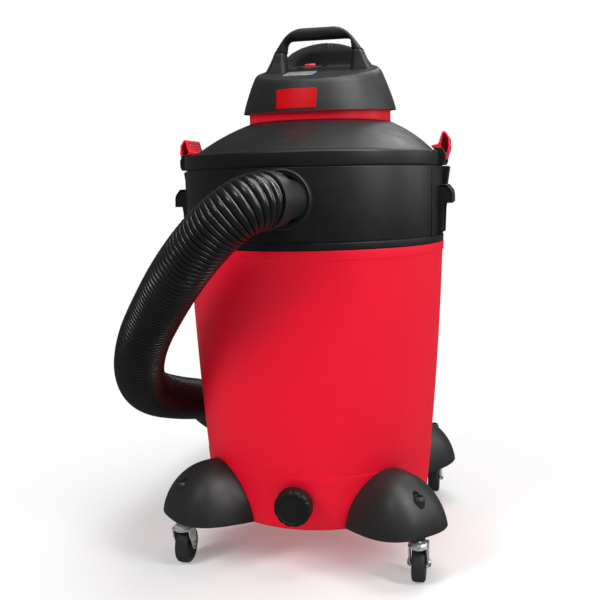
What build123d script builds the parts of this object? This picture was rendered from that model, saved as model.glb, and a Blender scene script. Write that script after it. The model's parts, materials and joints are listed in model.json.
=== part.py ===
"""Shop vacuum: a tapered drum on four swivel casters, a collar with the hose inlet,
a lift-off lid with two latches, and a motor head with a carrying handle.
Millimetres, +Z up, origin on the floor under the drum's axis, front towards -Y."""

from build123d import *
from math import atan2, cos, degrees, hypot, pi, radians, sin, sqrt, tan
import os

os.makedirs("parts", exist_ok=True)

# ---------------------------------------------------------------- driving dimensions
WALL = 3.0
GAP = 0.3  # between neighbouring pieces that aren't a fit
RUNNING = 0.05  # radial clearance of a shaft in its bearing
SCREW_R = 2.2

# drum
DRUM_BASE_Z, DRUM_BASE_R = 61.0, 160.4
DRUM_MID_Z, DRUM_MID_R = 250.0, 175.6
DRUM_TOP_Z, DRUM_TOP_R = 439.0, 184.2
DRUM_CORNER_R = 15.0
RIM_BAND_H, RIM_BAND_OUT = 13.0, 1.4
TONGUE_H, TONGUE_R = 11.0, 181.5

# collar
COLLAR_TOP_Z, COLLAR_TOP_R, COLLAR_BASE_R = 543.3, 186.0, 185.2
COLLAR_IN_R = 182.0
COLLAR_BAND_H = 9.0

# lid
LID_BOTTOM_Z, LID_RIM_R, LID_RIM_TOP_Z = 544.3, 186.5, 563.6
SKIRT_IN_R, LIP_IN_R, LIP_OUT_R, LIP_BOTTOM_Z = 183.5, 176.0, 179.0, 540.5
DOME_BASE_Z, DOME_BASE_R = 565.0, 171.0
DOME_TOP_Z, DOME_TOP_R = 609.0, 109.0
DOME_PLATE = 4.0

# motor head, round an axis behind the drum's
HEAD_Y = 48.0
RING_TOP_Z, RING_R, RING_IN_R = 629.0, 105.0, 87.0
COVER_BASE_R = 113.5
COVER_OUTLINE = [  # radius and height, from the base to the top
    (COVER_BASE_R, RING_TOP_Z),
    (109.8, 642),
    (101, 665),
    (90, 690),
    (76, 713),
    (62, 726.5),
    (35, 738.5),
    (0, 742),
]
COVER_WALL = 2.5
DECK_FRONT_Y, DECK_FRONT_Z, DECK_SLOPE = -45.0, 666.0, 0.25
HUMP_Y = 92.0
HEAD_SCREW_R = 95.0  # radius of the ring of cover screws

# carrying handle
HANDLE_Y, HANDLE_DEPTH = 50.0, 32.0
POST_IN_X, SEAM_OUT_X, SEAM_Z = 50.5, 66.0, 715.0
POST_FOOT_X, POST_FOOT_Z = 79.0, 684.0
CROWN_X, HANDLE_TOP_Z, GRIP_UNDER_Z = 38.5, 750.5, 733.5
OUTER_ROUND, INNER_ROUND = 4.5, 2.5  # edges of the handle outside and inside its opening

# feet and casters
STEM_XY = 162.4
FOOT_CENTRE, FOOT_RADIAL, FOOT_WIDE, FOOT_HIGH = 176.0, 81.0, 67.0, 80.0
FOOT_BASE_Z = 58.0  # middle of the dome, and underside of the tab below the drum
RIM_START, RIM_START_Z, RIM_RISE = 160.0, 61.0, 0.09  # the dome's rim rises outward from the drum
FOOT_SCREW_RADIAL = 138.0
STEM_RADIAL = STEM_XY * sqrt(2)
WHEEL_R, WHEEL_W = 25.0, 18.0
TRAIL = 10.0  # the wheel's axle lies this far behind the swivel axis
AXLE_R, STEM_R = 3.0, 4.0
CROWN_Z, CROWN_T = 52.5, 2.5
CASTERS = {
    "front_left": (-1, -1),
    "front_right": (1, -1),
    "rear_left": (-1, 1),
    "rear_right": (1, 1),
}

# inlet port, turned to the left of straight ahead
PORT_TURN = 22.0
PORT_POINT = (12.0, -185.6, 503.5)
PORT_BORE_R, FLANGE_R = 32.0, 38.5
BOSS_OUT, FLANGE_T = 14.0, 5.0  # the boss ends and the flange sits this far out along the port

# hose
HOSE_R, HOSE_WALL = 35.0, 2.0

# drain
DRAIN_Z, DRAIN_CAP_R, NECK_R, NECK_END = 101.0, 25.5, 17.0, 184.0
DRAIN_PAD, DRAIN_PAD_R = 158.0, 27.0  # distance of the pad inside the drum's front, and its radius
GASKET_START, GASKET_T = 168.2, 3.0
CAP_START, CAP_LENGTH = GASKET_START + GASKET_T, 19.0

# latches and carrying pockets at the two sides
LATCH_HALF_W, LATCH_PIN_X, LATCH_PIN_Z, LATCH_PIN_R = 29.0, 186.8, 555.5, 1.5
BRACKET_HALF_W = 45.0
HOOD_HALF_W, HOOD_OUT_X, HOOD_TOP_Z, HOOD_BOTTOM_Z = 45.0, 204.5, 515.0, 489.0

# filter
CAGE_R, CAGE_TOP_Z, CAGE_BOTTOM_Z = 50.0, 560.0, 404.0
FILTER_R = 84.0
BALL_R = 27.0

HEAD_AXIS = Axis((0, HEAD_Y, 0), (0, 0, 1))


def save(builder, label):
    """Label a finished piece and write it."""
    builder.part.label = label
    export_step(builder.part, f"parts/{label}.step")


def deck_z(y):
    """Height of the sloping deck at a given y."""
    return DECK_FRONT_Z + DECK_SLOPE * (y - DECK_FRONT_Y)


def deck_plane(x, y):
    """A plane on the deck, with its normal out of the surface."""
    normal = Vector(0, -DECK_SLOPE, 1).normalized()
    return Plane(origin=(x, y, deck_z(y)), x_dir=(1, 0, 0), z_dir=normal)


def drum_outline(offset):
    """The drum's outer side, moved outward by offset: bottom, middle and top points."""
    return (
        (DRUM_BASE_R + offset, DRUM_BASE_Z),
        (DRUM_MID_R + offset, DRUM_MID_Z),
        (DRUM_TOP_R + offset, DRUM_TOP_Z),
    )


# ---------------------------------------------------------------- drum
DRUM_INSIDE_TOP_R = TONGUE_R - WALL
FOOT_BOSS_R, FOOT_BOSS_H = 6.0, 8.0

with BuildPart() as drum:
    with BuildSketch(Plane.XZ) as drum_section:
        with BuildLine():
            side_low, side_mid, side_top = drum_outline(0)
            band_z = DRUM_TOP_Z - RIM_BAND_H
            Line((0, DRUM_BASE_Z), side_low)
            ThreePointArc(side_low, side_mid, (DRUM_TOP_R, band_z))
            Polyline(
                (DRUM_TOP_R, band_z),
                (DRUM_TOP_R + RIM_BAND_OUT, band_z + RIM_BAND_OUT),
                (DRUM_TOP_R + RIM_BAND_OUT, DRUM_TOP_Z),
                (TONGUE_R, DRUM_TOP_Z),
                (TONGUE_R, DRUM_TOP_Z + TONGUE_H),
                (DRUM_INSIDE_TOP_R, DRUM_TOP_Z + TONGUE_H),
                (DRUM_INSIDE_TOP_R, DRUM_TOP_Z - WALL),
            )
            ThreePointArc(
                (DRUM_INSIDE_TOP_R, DRUM_TOP_Z - WALL),
                (DRUM_MID_R - WALL, DRUM_MID_Z),
                (DRUM_BASE_R - WALL, DRUM_BASE_Z + WALL),
            )
            Polyline((DRUM_BASE_R - WALL, DRUM_BASE_Z + WALL), (0, DRUM_BASE_Z + WALL), (0, DRUM_BASE_Z))
        make_face()
        corners = drum_section.vertices()
        outer_corner = corners.sort_by_distance((DRUM_BASE_R, DRUM_BASE_Z))[0]
        fillet(outer_corner, radius=DRUM_CORNER_R)
        corners = drum_section.vertices()
        inner_corner = corners.sort_by_distance((DRUM_BASE_R - WALL, DRUM_BASE_Z + WALL))[0]
        fillet(inner_corner, radius=DRUM_CORNER_R - WALL)
    revolve(axis=Axis.Z)
    # flat pad and hole for the drain neck
    with BuildSketch(Plane.XZ.offset(DRAIN_PAD)):
        with Locations((0, DRAIN_Z)):
            Circle(DRAIN_PAD_R)
    extrude(amount=GASKET_START - DRAIN_PAD)
    with BuildSketch(Plane.XZ.offset(DRAIN_PAD - 2 * WALL)):
        with Locations((0, DRAIN_Z)):
            Circle(NECK_R + GAP)
    extrude(amount=NECK_END - DRAIN_PAD, mode=Mode.SUBTRACT)
    # inside bosses for the foot screws
    with BuildSketch(Plane.XY.offset(DRUM_BASE_Z + WALL)):
        with PolarLocations(FOOT_SCREW_RADIAL, 4, start_angle=45):
            Circle(FOOT_BOSS_R)
    extrude(amount=FOOT_BOSS_H)
    with BuildSketch(Plane.XY.offset(DRUM_BASE_Z)):
        with PolarLocations(FOOT_SCREW_RADIAL, 4, start_angle=45):
            Circle(SCREW_R + RUNNING)
    extrude(amount=FOOT_BOSS_H + 1, mode=Mode.SUBTRACT)
save(drum, "drum")

with BuildPart() as drum_envelope:
    with BuildSketch(Plane.XZ):
        with BuildLine():
            side_low, side_mid, side_top = drum_outline(GAP)
            Line((0, DRUM_BASE_Z), side_low)
            ThreePointArc(side_low, side_mid, side_top)
            Polyline(side_top, (0, DRUM_TOP_Z), (0, DRUM_BASE_Z))
        make_face()
    revolve(axis=Axis.Z)

# ---------------------------------------------------------------- inlet port axis
turn = radians(PORT_TURN)
PORT_OUT = Vector(-sin(turn), -cos(turn), 0)
PORT_SIDE = Vector(cos(turn), -sin(turn), 0)


def port_plane(distance):
    """A plane across the inlet port, this far out along its axis."""
    return Plane(origin=Vector(*PORT_POINT) + PORT_OUT * distance, x_dir=PORT_SIDE, z_dir=PORT_OUT)


# ---------------------------------------------------------------- collar
BOSS_BACK = 40.0  # the port's boss starts this far behind its axis point
with BuildPart() as collar:
    with BuildSketch(Plane.XZ):
        with BuildLine():
            groove_z = DRUM_TOP_Z + COLLAR_BAND_H
            Polyline(
                (0, DRUM_TOP_Z),
                (COLLAR_BASE_R, DRUM_TOP_Z),
                (COLLAR_BASE_R, groove_z),
                (COLLAR_BASE_R - 0.9, groove_z + 0.6),
                (COLLAR_BASE_R - 0.9, groove_z + 1.4),
                (COLLAR_BASE_R, groove_z + 2.0),
                (COLLAR_TOP_R, COLLAR_TOP_Z),
                (0, COLLAR_TOP_Z),
                (0, DRUM_TOP_Z),
            )
        make_face()
    revolve(axis=Axis.Z)
    # hooded carrying pocket on each side
    with BuildSketch(Plane.XZ) as hood_section:
        with BuildLine():
            Polyline(
                (150, HOOD_TOP_Z),
                (190, HOOD_TOP_Z),
                (HOOD_OUT_X, HOOD_TOP_Z - 7),
                (HOOD_OUT_X, HOOD_BOTTOM_Z),
                (150, HOOD_BOTTOM_Z),
                (150, HOOD_TOP_Z),
            )
        make_face()
        hood_corner = hood_section.vertices().sort_by_distance((HOOD_OUT_X, HOOD_TOP_Z - 7))[0]
        fillet(hood_corner, radius=8)
        hood_shoulder = hood_section.vertices().sort_by_distance((190, HOOD_TOP_Z))[0]
        fillet(hood_shoulder, radius=8)
    extrude(amount=HOOD_HALF_W, both=True)
    with BuildSketch(Plane.XZ):
        with BuildLine():
            Polyline(
                (COLLAR_BASE_R, HOOD_BOTTOM_Z - 1),
                (HOOD_OUT_X - WALL, HOOD_BOTTOM_Z - 1),
                (HOOD_OUT_X - WALL, HOOD_TOP_Z - 11),
                (191, HOOD_TOP_Z - 5),
                (COLLAR_BASE_R, HOOD_TOP_Z - 5),
                (COLLAR_BASE_R, HOOD_BOTTOM_Z - 1),
            )
        make_face()
    extrude(amount=HOOD_HALF_W - WALL, both=True, mode=Mode.SUBTRACT)
    # lug above the hood, under the latch
    with BuildSketch(Plane.XY.offset(HOOD_TOP_Z - 4)):
        with Locations((177, 0)):
            Rectangle(35, 40)
    extrude(amount=COLLAR_TOP_Z - HOOD_TOP_Z + 4)
    with BuildSketch(Plane.XY.offset(HOOD_TOP_Z)):
        with Locations((193, 0)):
            Rectangle(5, 12)
    extrude(amount=COLLAR_TOP_Z - HOOD_TOP_Z - 5, mode=Mode.SUBTRACT)
    # stiffening legs below the hood
    for leg_start in (HOOD_HALF_W - WALL, -HOOD_HALF_W):
        with BuildSketch(Plane.XZ.offset(leg_start)):
            with BuildLine():
                Polyline(
                    (170, HOOD_BOTTOM_Z + 1),
                    (192, HOOD_BOTTOM_Z + 1),
                    (187, DRUM_TOP_Z + COLLAR_BAND_H + 3),
                    (170, DRUM_TOP_Z + COLLAR_BAND_H + 3),
                    (170, HOOD_BOTTOM_Z + 1),
                )
            make_face()
        extrude(amount=WALL)
    mirror(about=Plane.YZ)
    # bores of the collar and of the inlet port
    with BuildSketch(Plane.XY.offset(DRUM_TOP_Z - 1)):
        Circle(COLLAR_IN_R)
    extrude(amount=COLLAR_TOP_Z - DRUM_TOP_Z + 2, mode=Mode.SUBTRACT)
    with BuildSketch(port_plane(-BOSS_BACK)):
        Circle(PORT_BORE_R + WALL + GAP)
    extrude(amount=BOSS_BACK + BOSS_OUT, mode=Mode.SUBTRACT)
save(collar, "collar")

# ---------------------------------------------------------------- inlet fitting, deflector and hose cuff
FITTING_IN = 42.0  # how far the fitting reaches in
FLANGE_OUT = BOSS_OUT + FLANGE_T
with BuildPart() as inlet_fitting:
    # boss that stands on the collar's outside
    with BuildSketch(port_plane(-BOSS_BACK)):
        Circle(FLANGE_R - 0.5)
    extrude(amount=BOSS_BACK + BOSS_OUT)
    with BuildSketch(Plane.XY.offset(DRUM_TOP_Z)):
        Circle(COLLAR_TOP_R)
    extrude(amount=COLLAR_TOP_Z - DRUM_TOP_Z, mode=Mode.SUBTRACT)
    with BuildSketch(port_plane(BOSS_OUT)):
        Circle(FLANGE_R)
    extrude(amount=FLANGE_T)
    flange_face = inlet_fitting.faces().sort_by_distance(port_plane(FLANGE_OUT).origin)[0]
    fillet(flange_face.outer_wire().edges(), radius=2.2)
    with BuildSketch(port_plane(-FITTING_IN)):
        Circle(PORT_BORE_R + WALL)
    extrude(amount=FITTING_IN + BOSS_OUT)
    with BuildSketch(port_plane(-FITTING_IN - 1)):
        Circle(PORT_BORE_R)
    extrude(amount=FITTING_IN + FLANGE_OUT + 2, mode=Mode.SUBTRACT)
save(inlet_fitting, "inlet_fitting")

DEFLECTOR_START, DEFLECTOR_LENGTH = -70.0, 34.0
with BuildPart() as inlet_deflector:
    with BuildSketch(port_plane(DEFLECTOR_START)):
        Circle(PORT_BORE_R + 2 * WALL)
    extrude(amount=DEFLECTOR_LENGTH)
    with BuildSketch(port_plane(DEFLECTOR_START + WALL)):
        Circle(PORT_BORE_R + WALL + GAP)
    extrude(amount=DEFLECTOR_LENGTH, mode=Mode.SUBTRACT)
    # the lower half is open past the fitting, so that dust is turned downward
    with BuildSketch(port_plane(DEFLECTOR_START - 1)):
        with Locations((0, -30)):
            Rectangle(90, 60)
    extrude(amount=DEFLECTOR_LENGTH - 6, mode=Mode.SUBTRACT)
save(inlet_deflector, "inlet_deflector")

CUFF_OUT_R, CUFF_LENGTH = 36.0, 25.0
CUFF_END = FLANGE_OUT + CUFF_LENGTH
with BuildPart() as hose_cuff:
    with BuildSketch(port_plane(-20)):
        Circle(PORT_BORE_R - GAP)
    extrude(amount=20 + FLANGE_OUT)
    with BuildSketch(port_plane(FLANGE_OUT)):
        Circle(CUFF_OUT_R)
    extrude(amount=CUFF_LENGTH)
    with BuildSketch(port_plane(-21)):
        Circle(PORT_BORE_R - WALL)
    extrude(amount=CUFF_END + 22, mode=Mode.SUBTRACT)
save(hose_cuff, "hose_cuff")

# ---------------------------------------------------------------- hose
EXIT = port_plane(CUFF_END).origin
FIRST_BEND = port_plane(CUFF_END + 36).origin
HOSE_ROUTE = [
    (EXIT.X, EXIT.Y, EXIT.Z),
    (FIRST_BEND.X, FIRST_BEND.Y, FIRST_BEND.Z),
    (-54, -280, 489),
    (-102, -266, 452),
    (-142, -236, 404),
    (-176, -200, 355),
    (-210, -168, 308),
    (-240, -120, 258),
    (-257, -42, 212),
    (-250, 55, 179),
    (-244, 150, 149),
    (-254, 240, 106),
    (-260, 325, 66),
    (-256, 420, 36),
    (-230, 520, 36),
    (-160, 600, 36),
    (-60, 620, 36),
    (22, 570, 36),
    (52, 480, 36),
    (20, 395, 36),
    (-50, 352, 36),
    (-118, 374, 36),
]


def tangent_radii(points):
    """For each corner, the radius of the largest arc that 0.45 of the shorter run allows."""
    radii = []
    for before, corner, after in zip(points, points[1:], points[2:]):
        run_in = Vector(*corner) - Vector(*before)
        run_out = Vector(*after) - Vector(*corner)
        half_turn = radians(run_in.get_angle(run_out)) / 2
        radii.append(0.45 * min(run_in.length, run_out.length) / tan(half_turn))
    return radii


HOSE_RADII = tangent_radii(HOSE_ROUTE)
print("hose corner radii", [round(r) for r in HOSE_RADII])

with BuildPart() as hose:
    with BuildLine() as hose_path:
        FilletPolyline(*HOSE_ROUTE, radius=HOSE_RADII)
    path_start = hose_path.line @ 0
    with BuildSketch(Plane(origin=path_start, z_dir=hose_path.line % 0)):
        Circle(HOSE_R)
        Circle(HOSE_R - HOSE_WALL, mode=Mode.SUBTRACT)
    sweep(path=hose_path.line)
hose_length = sum(edge.length for edge in hose_path.edges())
tube_area = pi * (HOSE_R**2 - (HOSE_R - HOSE_WALL) ** 2)
volume_ratio = hose.part.volume / (tube_area * hose_length)
print("hose length", round(hose_length), "volume ratio", volume_ratio)
save(hose, "hose")

END_CUFF_LENGTH = 70.0
hose_end = Vector(*HOSE_ROUTE[-1])
end_direction = (hose_end - Vector(*HOSE_ROUTE[-2])).normalized()
with BuildPart() as hose_end_cuff:
    with BuildSketch(Plane(origin=hose_end, z_dir=end_direction)):
        Circle(HOSE_R)
    extrude(amount=END_CUFF_LENGTH, taper=2)
    with BuildSketch(Plane(origin=hose_end - end_direction, z_dir=end_direction)):
        Circle(28.5)
    extrude(amount=END_CUFF_LENGTH + 2, mode=Mode.SUBTRACT)
save(hose_end_cuff, "hose_end_cuff")

# ---------------------------------------------------------------- drain
NECK_CLEAR = 0.4
with BuildPart() as drain_neck:
    with BuildSketch(Plane.XZ.offset(DRAIN_PAD - 4)):
        with Locations((0, DRAIN_Z)):
            Circle(DRAIN_PAD_R - WALL)
    extrude(amount=4)
    with BuildSketch(Plane.XZ.offset(DRAIN_PAD)):
        with Locations((0, DRAIN_Z)):
            Circle(NECK_R)
    extrude(amount=NECK_END - DRAIN_PAD)
    with BuildSketch(Plane.XZ.offset(DRAIN_PAD - 5)):
        with Locations((0, DRAIN_Z)):
            Circle(NECK_R - 4)
    extrude(amount=NECK_END - DRAIN_PAD + 6, mode=Mode.SUBTRACT)
save(drain_neck, "drain_neck")

with BuildPart() as drain_gasket:
    with BuildSketch(Plane.XZ.offset(GASKET_START)):
        with Locations((0, DRAIN_Z)):
            Circle(DRAIN_CAP_R - 2.5)
            Circle(NECK_R + NECK_CLEAR, mode=Mode.SUBTRACT)
    extrude(amount=GASKET_T)
save(drain_gasket, "drain_gasket")

with BuildPart() as drain_cap:
    with BuildSketch(Plane.XZ.offset(CAP_START)):
        with Locations((0, DRAIN_Z)):
            Circle(DRAIN_CAP_R)
    extrude(amount=CAP_LENGTH)
    fillet(drain_cap.faces().sort_by(Axis.Y)[0].edges(), radius=1.5)
    with BuildSketch(Plane.XZ.offset(CAP_START)):
        with Locations((0, DRAIN_Z)):
            with PolarLocations(DRAIN_CAP_R + 1.4, 16):
                Circle(2.6)
    extrude(amount=CAP_LENGTH + 1, mode=Mode.SUBTRACT)
    with BuildSketch(Plane.XZ.offset(CAP_START)):
        with Locations((0, DRAIN_Z)):
            Circle(NECK_R + NECK_CLEAR)
    extrude(amount=NECK_END + 1.5 - CAP_START, mode=Mode.SUBTRACT)
save(drain_cap, "drain_cap")


# ---------------------------------------------------------------- feet and casters
SOCKET_R, SOCKET_TOP_Z = 9.0, 109.0
SOCKET_BOTTOM_Z = CROWN_Z + CROWN_T + 4.0

with BuildPart() as foot_outer:
    Sphere(1)
    scale(by=(FOOT_RADIAL, FOOT_WIDE, FOOT_HIGH))
with BuildPart() as foot_inner:
    Sphere(1)
    scale(by=(FOOT_RADIAL - WALL, FOOT_WIDE - WALL, FOOT_HIGH - WALL))


def corner_angle(side_x, side_y):
    """Direction of a corner of the base, in degrees about Z."""
    return degrees(atan2(side_y, side_x))


def rim_z(radial):
    """Height of the dome's rim at a distance from the drum's axis."""
    return RIM_START_Z + RIM_RISE * (radial - RIM_START)


def build_foot(angle):
    """A domed shell that hugs the drum, with its caster socket and a tab under the drum."""
    base = Plane.XY.rotated((0, 0, angle)).offset(FOOT_BASE_Z)
    upright = Plane.XZ.rotated((0, 0, angle), ordering=Extrinsic.XYZ)
    dome_place = base.location * Location((FOOT_CENTRE, 0, 0))
    reach = FOOT_CENTRE + FOOT_RADIAL + 10
    with BuildPart() as foot:
        add(foot_outer.part.moved(dome_place))
        add(foot_inner.part.moved(dome_place), mode=Mode.SUBTRACT)
        with BuildSketch(upright):
            with BuildLine():
                Polyline(
                    (0, FOOT_BASE_Z - FOOT_HIGH),
                    (reach, FOOT_BASE_Z - FOOT_HIGH),
                    (reach, rim_z(reach)),
                    (0, rim_z(0)),
                    (0, FOOT_BASE_Z - FOOT_HIGH),
                )
            make_face()
        extrude(amount=FOOT_WIDE + 5, both=True, mode=Mode.SUBTRACT)
        with BuildSketch(base.offset(SOCKET_BOTTOM_Z - FOOT_BASE_Z)):
            with Locations((STEM_RADIAL, 0)):
                Circle(SOCKET_R)
        extrude(amount=SOCKET_TOP_Z - SOCKET_BOTTOM_Z)
        # web between the socket, the dome and the tab under the drum
        with BuildSketch(base.offset(1)):
            with Locations((STEM_RADIAL - 40, 0)):
                Rectangle(70, WALL)
        extrude(amount=51)
        with BuildSketch(base):
            with Locations((FOOT_SCREW_RADIAL + 30, 0)):
                Rectangle(80, 36)
        extrude(amount=DRUM_BASE_Z - FOOT_BASE_Z)
        add(drum_envelope.part, mode=Mode.SUBTRACT)
        with BuildSketch(base.offset(-1)):
            with Locations((STEM_RADIAL, 0)):
                Circle(STEM_R + RUNNING)
        extrude(amount=46, mode=Mode.SUBTRACT)
        with BuildSketch(base.offset(-1)):
            with Locations((FOOT_SCREW_RADIAL, 0)):
                Circle(SCREW_R + RUNNING)
        extrude(amount=10, mode=Mode.SUBTRACT)
        # tool hole through the dome above the caster
        with BuildSketch(base.offset(FOOT_HIGH + 2)):
            with Locations((STEM_RADIAL - 4, 0)):
                Circle(5.5)
        extrude(amount=-34, mode=Mode.SUBTRACT)
    return foot


def build_fork(x, y):
    """Zinc-plated swivel fork with its stem, over a wheel that trails towards +Y."""
    leg_x = WHEEL_W / 2 + 2.2
    with BuildPart() as fork:
        with BuildSketch(Plane.XY.offset(CROWN_Z)):
            with Locations((x, y + 2)):
                RectangleRounded(2 * leg_x + 4, 26, 3)
        extrude(amount=CROWN_T)
        for side in (-1, 1):
            with BuildSketch(Plane.YZ.offset(x + side * (leg_x + 1) - 1)):
                with BuildLine():
                    Polyline(
                        (y - 9, CROWN_Z + 1),
                        (y + TRAIL - 6, WHEEL_R),
                        (y + TRAIL + 6, WHEEL_R),
                        (y + 13, CROWN_Z + 1),
                        (y - 9, CROWN_Z + 1),
                    )
                make_face()
                with Locations((y + TRAIL, WHEEL_R)):
                    Circle(6)
            extrude(amount=2)
        with BuildSketch(Plane.XY.offset(CROWN_Z + CROWN_T)):
            with Locations((x, y)):
                Circle(10)
        extrude(amount=3)
        with BuildSketch(Plane.XY.offset(CROWN_Z + CROWN_T)):
            with Locations((x, y)):
                Circle(STEM_R)
        extrude(amount=44)
        with BuildSketch(Plane.YZ.offset(x - 20)):
            with Locations((y + TRAIL, WHEEL_R)):
                Circle(AXLE_R + RUNNING)
        extrude(amount=40, mode=Mode.SUBTRACT)
    return fork


def build_axle(x, y):
    """Rivet that carries one wheel, with a head outside each fork leg."""
    head_x = WHEEL_W / 2 + 4.4
    with BuildPart() as axle:
        with BuildSketch(Plane.YZ.offset(x - head_x)):
            with Locations((y + TRAIL, WHEEL_R)):
                Circle(AXLE_R)
        extrude(amount=2 * head_x)
        for start in (x - head_x - 1.6, x + head_x):
            with BuildSketch(Plane.YZ.offset(start)):
                with Locations((y + TRAIL, WHEEL_R)):
                    Circle(5)
            extrude(amount=1.6)
    return axle


def build_wheel(x, y):
    """Moulded wheel with a rounded tread and a dished hub."""
    half = WHEEL_W / 2
    with BuildPart() as wheel:
        with BuildSketch(Plane.YZ.offset(x - half)):
            with Locations((y + TRAIL, WHEEL_R)):
                Circle(WHEEL_R)
        extrude(amount=WHEEL_W)
        rims = wheel.faces().filter_by(Axis.X)
        fillet(rims.edges(), radius=3)
        for start, depth in ((x - half - 1, 5), (x + half + 1, -5)):
            with BuildSketch(Plane.YZ.offset(start)):
                with Locations((y + TRAIL, WHEEL_R)):
                    Circle(18)
                    Circle(7.5, mode=Mode.SUBTRACT)
            extrude(amount=depth, mode=Mode.SUBTRACT)
        with BuildSketch(Plane.YZ.offset(x - half - 1)):
            with Locations((y + TRAIL, WHEEL_R)):
                Circle(AXLE_R + RUNNING)
        extrude(amount=WHEEL_W + 2, mode=Mode.SUBTRACT)
    return wheel


for corner, (side_x, side_y) in CASTERS.items():
    stem_x, stem_y = side_x * STEM_XY, side_y * STEM_XY
    save(build_foot(corner_angle(side_x, side_y)), f"foot_{corner}")
    save(build_fork(stem_x, stem_y), f"caster_fork_{corner}")
    save(build_axle(stem_x, stem_y), f"caster_axle_{corner}")
    save(build_wheel(stem_x, stem_y), f"caster_wheel_{corner}")

with BuildPart() as foot_screws:
    with BuildSketch(Plane.XY.offset(FOOT_BASE_Z - 3)):
        with PolarLocations(FOOT_SCREW_RADIAL, 4, start_angle=45):
            Circle(5)
    extrude(amount=3)
    with BuildSketch(Plane.XY.offset(FOOT_BASE_Z)):
        with PolarLocations(FOOT_SCREW_RADIAL, 4, start_angle=45):
            Circle(SCREW_R)
    extrude(amount=11)
save(foot_screws, "foot_screws")

# ---------------------------------------------------------------- lid
POCKET_Z, SEAL_TOP_Z = 549.5, 558.0  # floor of the latch pockets, and top of the gasket's groove
MOTOR_HOLE_R = 62.0
with BuildPart() as lid:
    with BuildSketch(Plane.XZ) as rim_section:
        with BuildLine():
            Polyline(
                (LID_RIM_R, LID_BOTTOM_Z),
                (LID_RIM_R, LID_RIM_TOP_Z),
                (DOME_BASE_R - 2, LID_RIM_TOP_Z + 1.6),
                (DOME_BASE_R - 5, 561),
                (LIP_IN_R, 560),
                (LIP_IN_R, LIP_BOTTOM_Z),
                (LIP_OUT_R, LIP_BOTTOM_Z),
                (LIP_OUT_R, SEAL_TOP_Z),
                (SKIRT_IN_R, SEAL_TOP_Z),
                (SKIRT_IN_R, LID_BOTTOM_Z),
                (LID_RIM_R, LID_BOTTOM_Z),
            )
        make_face()
        rim_corner = rim_section.vertices().sort_by_distance((LID_RIM_R, LID_RIM_TOP_Z))[0]
        fillet(rim_corner, radius=3.5)
    revolve(axis=Axis.Z)
    with BuildSketch(Plane.XY.offset(DOME_BASE_Z)):
        Circle(DOME_BASE_R)
    with BuildSketch(Plane.XY.offset(DOME_TOP_Z)):
        with Locations((0, HEAD_Y)):
            Circle(DOME_TOP_R)
    loft()
    with BuildSketch(Plane.XY.offset(DOME_BASE_Z - DOME_PLATE)):
        Circle(DOME_BASE_R - 2.4)
    with BuildSketch(Plane.XY.offset(DOME_TOP_Z - DOME_PLATE)):
        with Locations((0, HEAD_Y)):
            Circle(DOME_TOP_R - 2.4)
    loft(mode=Mode.SUBTRACT)
    # brackets that carry the latches
    for side in (-1, 1):
        with BuildSketch(Plane.XY.offset(LID_BOTTOM_Z)):
            with Locations((side * 178, 0)):
                Rectangle(20, 2 * BRACKET_HALF_W)
        extrude(amount=LID_RIM_TOP_Z - LID_BOTTOM_Z)
        with BuildSketch(Plane.XY.offset(POCKET_Z)):
            with Locations((side * 188, 0)):
                Rectangle(16, 2 * LATCH_HALF_W + 1)
        extrude(amount=30, mode=Mode.SUBTRACT)
        with BuildSketch(Plane.XZ.offset(-BRACKET_HALF_W)):
            with Locations((side * LATCH_PIN_X, LATCH_PIN_Z)):
                Circle(LATCH_PIN_R + 1.5)
                with Locations((side * -5, 0)):
                    Rectangle(10, 2 * LATCH_PIN_R + 3)
        extrude(amount=2 * BRACKET_HALF_W)
        with BuildSketch(Plane.XZ.offset(-LATCH_HALF_W - 0.5)):
            with Locations((side * 190, LATCH_PIN_Z + 10)):
                Rectangle(20, 32)
        extrude(amount=2 * LATCH_HALF_W + 1, mode=Mode.SUBTRACT)
        with BuildSketch(Plane.XZ.offset(-BRACKET_HALF_W - 1)):
            with Locations((side * LATCH_PIN_X, LATCH_PIN_Z)):
                Circle(LATCH_PIN_R + RUNNING)
        extrude(amount=2 * BRACKET_HALF_W + 2, mode=Mode.SUBTRACT)
    # nothing of the brackets reaches inside the skirt
    with BuildSketch(Plane.XY.offset(LID_BOTTOM_Z - 9)):
        Circle(SKIRT_IN_R)
        Circle(LIP_OUT_R, mode=Mode.SUBTRACT)
    extrude(amount=SEAL_TOP_Z - LID_BOTTOM_Z + 9, mode=Mode.SUBTRACT)
    with BuildSketch(Plane.XY.offset(LIP_BOTTOM_Z - 1)):
        Circle(LIP_IN_R)
    extrude(amount=560 - LIP_BOTTOM_Z + 1, mode=Mode.SUBTRACT)
    # motor opening and screw holes in the flat top
    with BuildSketch(Plane.XY.offset(DOME_TOP_Z - DOME_PLATE - 2)):
        with Locations((0, HEAD_Y)):
            Circle(MOTOR_HOLE_R)
            with PolarLocations(HEAD_SCREW_R, 4, start_angle=45):
                Circle(SCREW_R + RUNNING)
    extrude(amount=DOME_PLATE + 4, mode=Mode.SUBTRACT)
save(lid, "lid")

with BuildPart() as lid_gasket:
    with BuildSketch(Plane.XY.offset(COLLAR_TOP_Z + 0.2)):
        Circle(SKIRT_IN_R - 0.2)
        Circle(LIP_OUT_R + 0.2, mode=Mode.SUBTRACT)
    extrude(amount=SEAL_TOP_Z - COLLAR_TOP_Z - 0.2)
save(lid_gasket, "lid_gasket")


def sided(side, points):
    """Points of a section, on the left (-1) or right (1) side of the vacuum."""
    return [(side * x, z) for x, z in points]


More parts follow.
